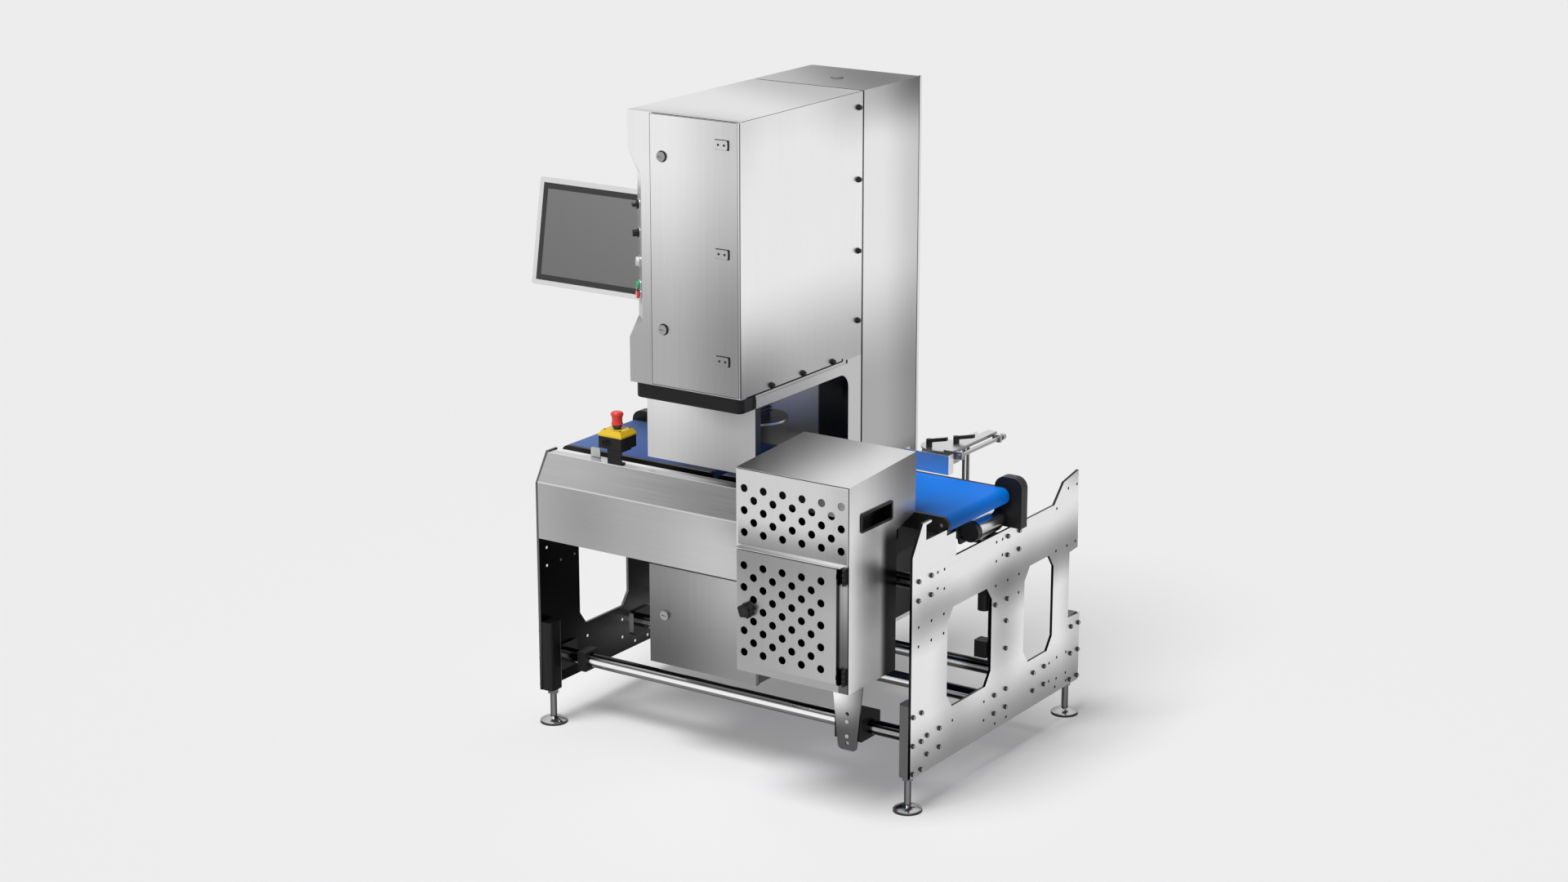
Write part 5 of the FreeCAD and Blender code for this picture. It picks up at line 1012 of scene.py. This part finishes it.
# %% Leg screws and knob lock
LEG_SCREW = ((6.8, 0.0), (6.6, 1.6), (4.6, 3.3), (2.7, 3.6), (2.6, 1.6), (0, 1.5))
LEG_FACE, LEG_X, LEG_TUBE_Z, LEG_SCREW_STEP = -418.0, 398.0, 183.0, 22
LOCK_BARREL = ((8.5, 0.0), (8.5, 0.3), (7.8, 0.4), (0, 0.4))
KNOB_X, KNOB_FACE, KNOB_Z = 236.0, -698.3, 583.0
leg_screws, barrel, key_slot = bmesh.new(), bmesh.new(), bmesh.new()
for way in (-1, 1):
    turned(leg_screws, (LEG_X, LEG_FACE, LEG_TUBE_Z + way * LEG_SCREW_STEP), FRONT, LEG_SCREW, 16)
turned(barrel, (KNOB_X, KNOB_FACE, KNOB_Z), FRONT, LOCK_BARREL, 24)
# The key slot: a thin black box, painted shade inside the slot.
block(key_slot, (KNOB_X - 0.9, KNOB_FACE - 0.5, KNOB_Z - 4), (KNOB_X + 0.9, KNOB_FACE - 0.3, KNOB_Z + 4))
piece("leg_screws", leg_screws, screw_steel)
piece("knob_lock", barrel, dark_steel, body="bin_knob")
piece("knob_key_slot", key_slot, hole_shade_black, body="bin_knob")

# %% [markdown]
# The emergency stop's lid is held by four screws, and its box has a round knock-out at the front.
# Sunk into the box it would need a cut. A turned ring with a low disc in it casts the same thin edge.

# %% Emergency stop fittings
LID_SCREW = ((3.6, 0.0), (3.6, 0.5), (3.0, 0.9), (0, 0.9))
KNOCK_OUT = ((11.0, 0.0), (11.0, 0.4), (9.6, 0.4), (9.4, 0.1), (0, 0.1))
LID_TOP = 930
lid_screws, knock_out = bmesh.new(), bmesh.new()
for x in (-446, -390):
    for y in (-412, -364):
        turned(lid_screws, (x, y, LID_TOP), TOP, LID_SCREW, 14)
turned(knock_out, (-424, -426, 894), FRONT, KNOCK_OUT, 28)
piece("estop_lid_screws", lid_screws, hole_shade_black)
piece("estop_knock_out", knock_out, hole_shade_black)

# %% [markdown]
# The five controls on the chamfer share one thin plate, and each of them sits in a steel ring. The
# plate is a box turned by the chamfer's own 45 degrees. The rings need no turning afterwards, because
# the axis of a turned body can point anywhere, and here it leans to the front left.

# %% Control plate and rings
RING = ((17.5, 0.0), (17.5, 2.0), (16.5, 2.8), (14.2, 2.8), (14.0, 0.6))
CHAMFER_MID = (-296.0, -431.0)
CHAMFER_AXIS = (-1, -1, 0)
PLATE_SIZE, PLATE_Z = (0.036, 0.0012, 0.318), 1488
CONTROL_HEIGHTS = (1615, 1533, 1451, 1382, 1356)
plate, rings = bmesh.new(), bmesh.new()
made = bmesh.ops.create_cube(plate, size=1.0)["verts"]
bmesh.ops.scale(plate, vec=PLATE_SIZE, verts=made)
bmesh.ops.rotate(plate, matrix=Matrix.Rotation(math.radians(-45), 3, "Z"), verts=made)
bmesh.ops.translate(plate, vec=at(*CHAMFER_MID, PLATE_Z), verts=made)
for z in CONTROL_HEIGHTS:
    turned(rings, (*CHAMFER_MID, z), CHAMFER_AXIS, RING, 28)
piece("control_plate", plate, plate_grey, bevel=0.0004)
piece("control_rings", rings, screw_steel)

# %% [markdown]
# The studio's floor is one pale matt sheet. It keeps the machine's shadow. A faint glow of its own
# brings it up to the backdrop's tone without more light on the machine, so no edge shows far away.

# %% Floor
FLOOR_COLOUR = (0.70, 0.691, 0.70)
FLOOR_GLOW = 0.215
FLOOR_SIZE = 30.0
paint = Finish("floor_paint")
paint.set(Base_Color=(*FLOOR_COLOUR, 1), Roughness=1.0, Emission_Color=(1, 1, 1, 1),
          Emission_Strength=FLOOR_GLOW, Specular_IOR_Level=0.0)
floor_mesh = bmesh.new()
bmesh.ops.create_grid(floor_mesh, x_segments=1, y_segments=1, size=FLOOR_SIZE)
floor = placed("studio_floor", floor_mesh, paint.material)
print("floor corner", [round(v, 1) for v in floor.data.vertices[0].co])

# %% [markdown]
# An even sky is the plainest soft light there is, and one broad sun adds a little direction. The
# camera and mirrors see the backdrop's own pale colour instead of the dimmer sky, so the steel shows
# the tones that were painted on it. Light Path tells these rays from the ones that light the scene.

# %% Sky and sun
BACKDROP = (0.855, 0.847, 0.855)
SKY = 0.20
SUN = 2.46
SUN_WIDTH = 30
SUN_TILT = (24, -8, 0)
world = bpy.data.worlds.new("studio")
bpy.context.scene.world = world
world.use_nodes = True
sky = Nodes(world.node_tree)
camera_ray = sky.node("ShaderNodeLightPath", {}, {}, "Is Camera Ray")
glossy_ray, clear_ray = (Wire(sky, camera_ray.socket.node.outputs[name])
                         for name in ("Is Glossy Ray", "Is Transmission Ray"))
seen = camera_ray.highest(glossy_ray).highest(clear_ray)
background = sky.tree.nodes["Background"]
sky.put(background.inputs["Color"], sky.blend(seen, (SKY, SKY, SKY), BACKDROP))
sky.put(background.inputs["Strength"], 1.0)

sun = bpy.data.lights.new("sun", "SUN")
sun.energy = SUN
sun.angle = math.radians(SUN_WIDTH)
sun_object = bpy.data.objects.new("sun", sun)
bpy.context.scene.collection.objects.link(sun_object)
sun_object.rotation_euler = [math.radians(angle) for angle in SUN_TILT]
print("sky", SKY, "sun", SUN)

# %% [markdown]
# The Standard view shows every colour as it is written, which the painted tones rely on.

# %% View
bpy.context.scene.view_settings.view_transform = "Standard"
print("view", bpy.context.scene.view_settings.view_transform)
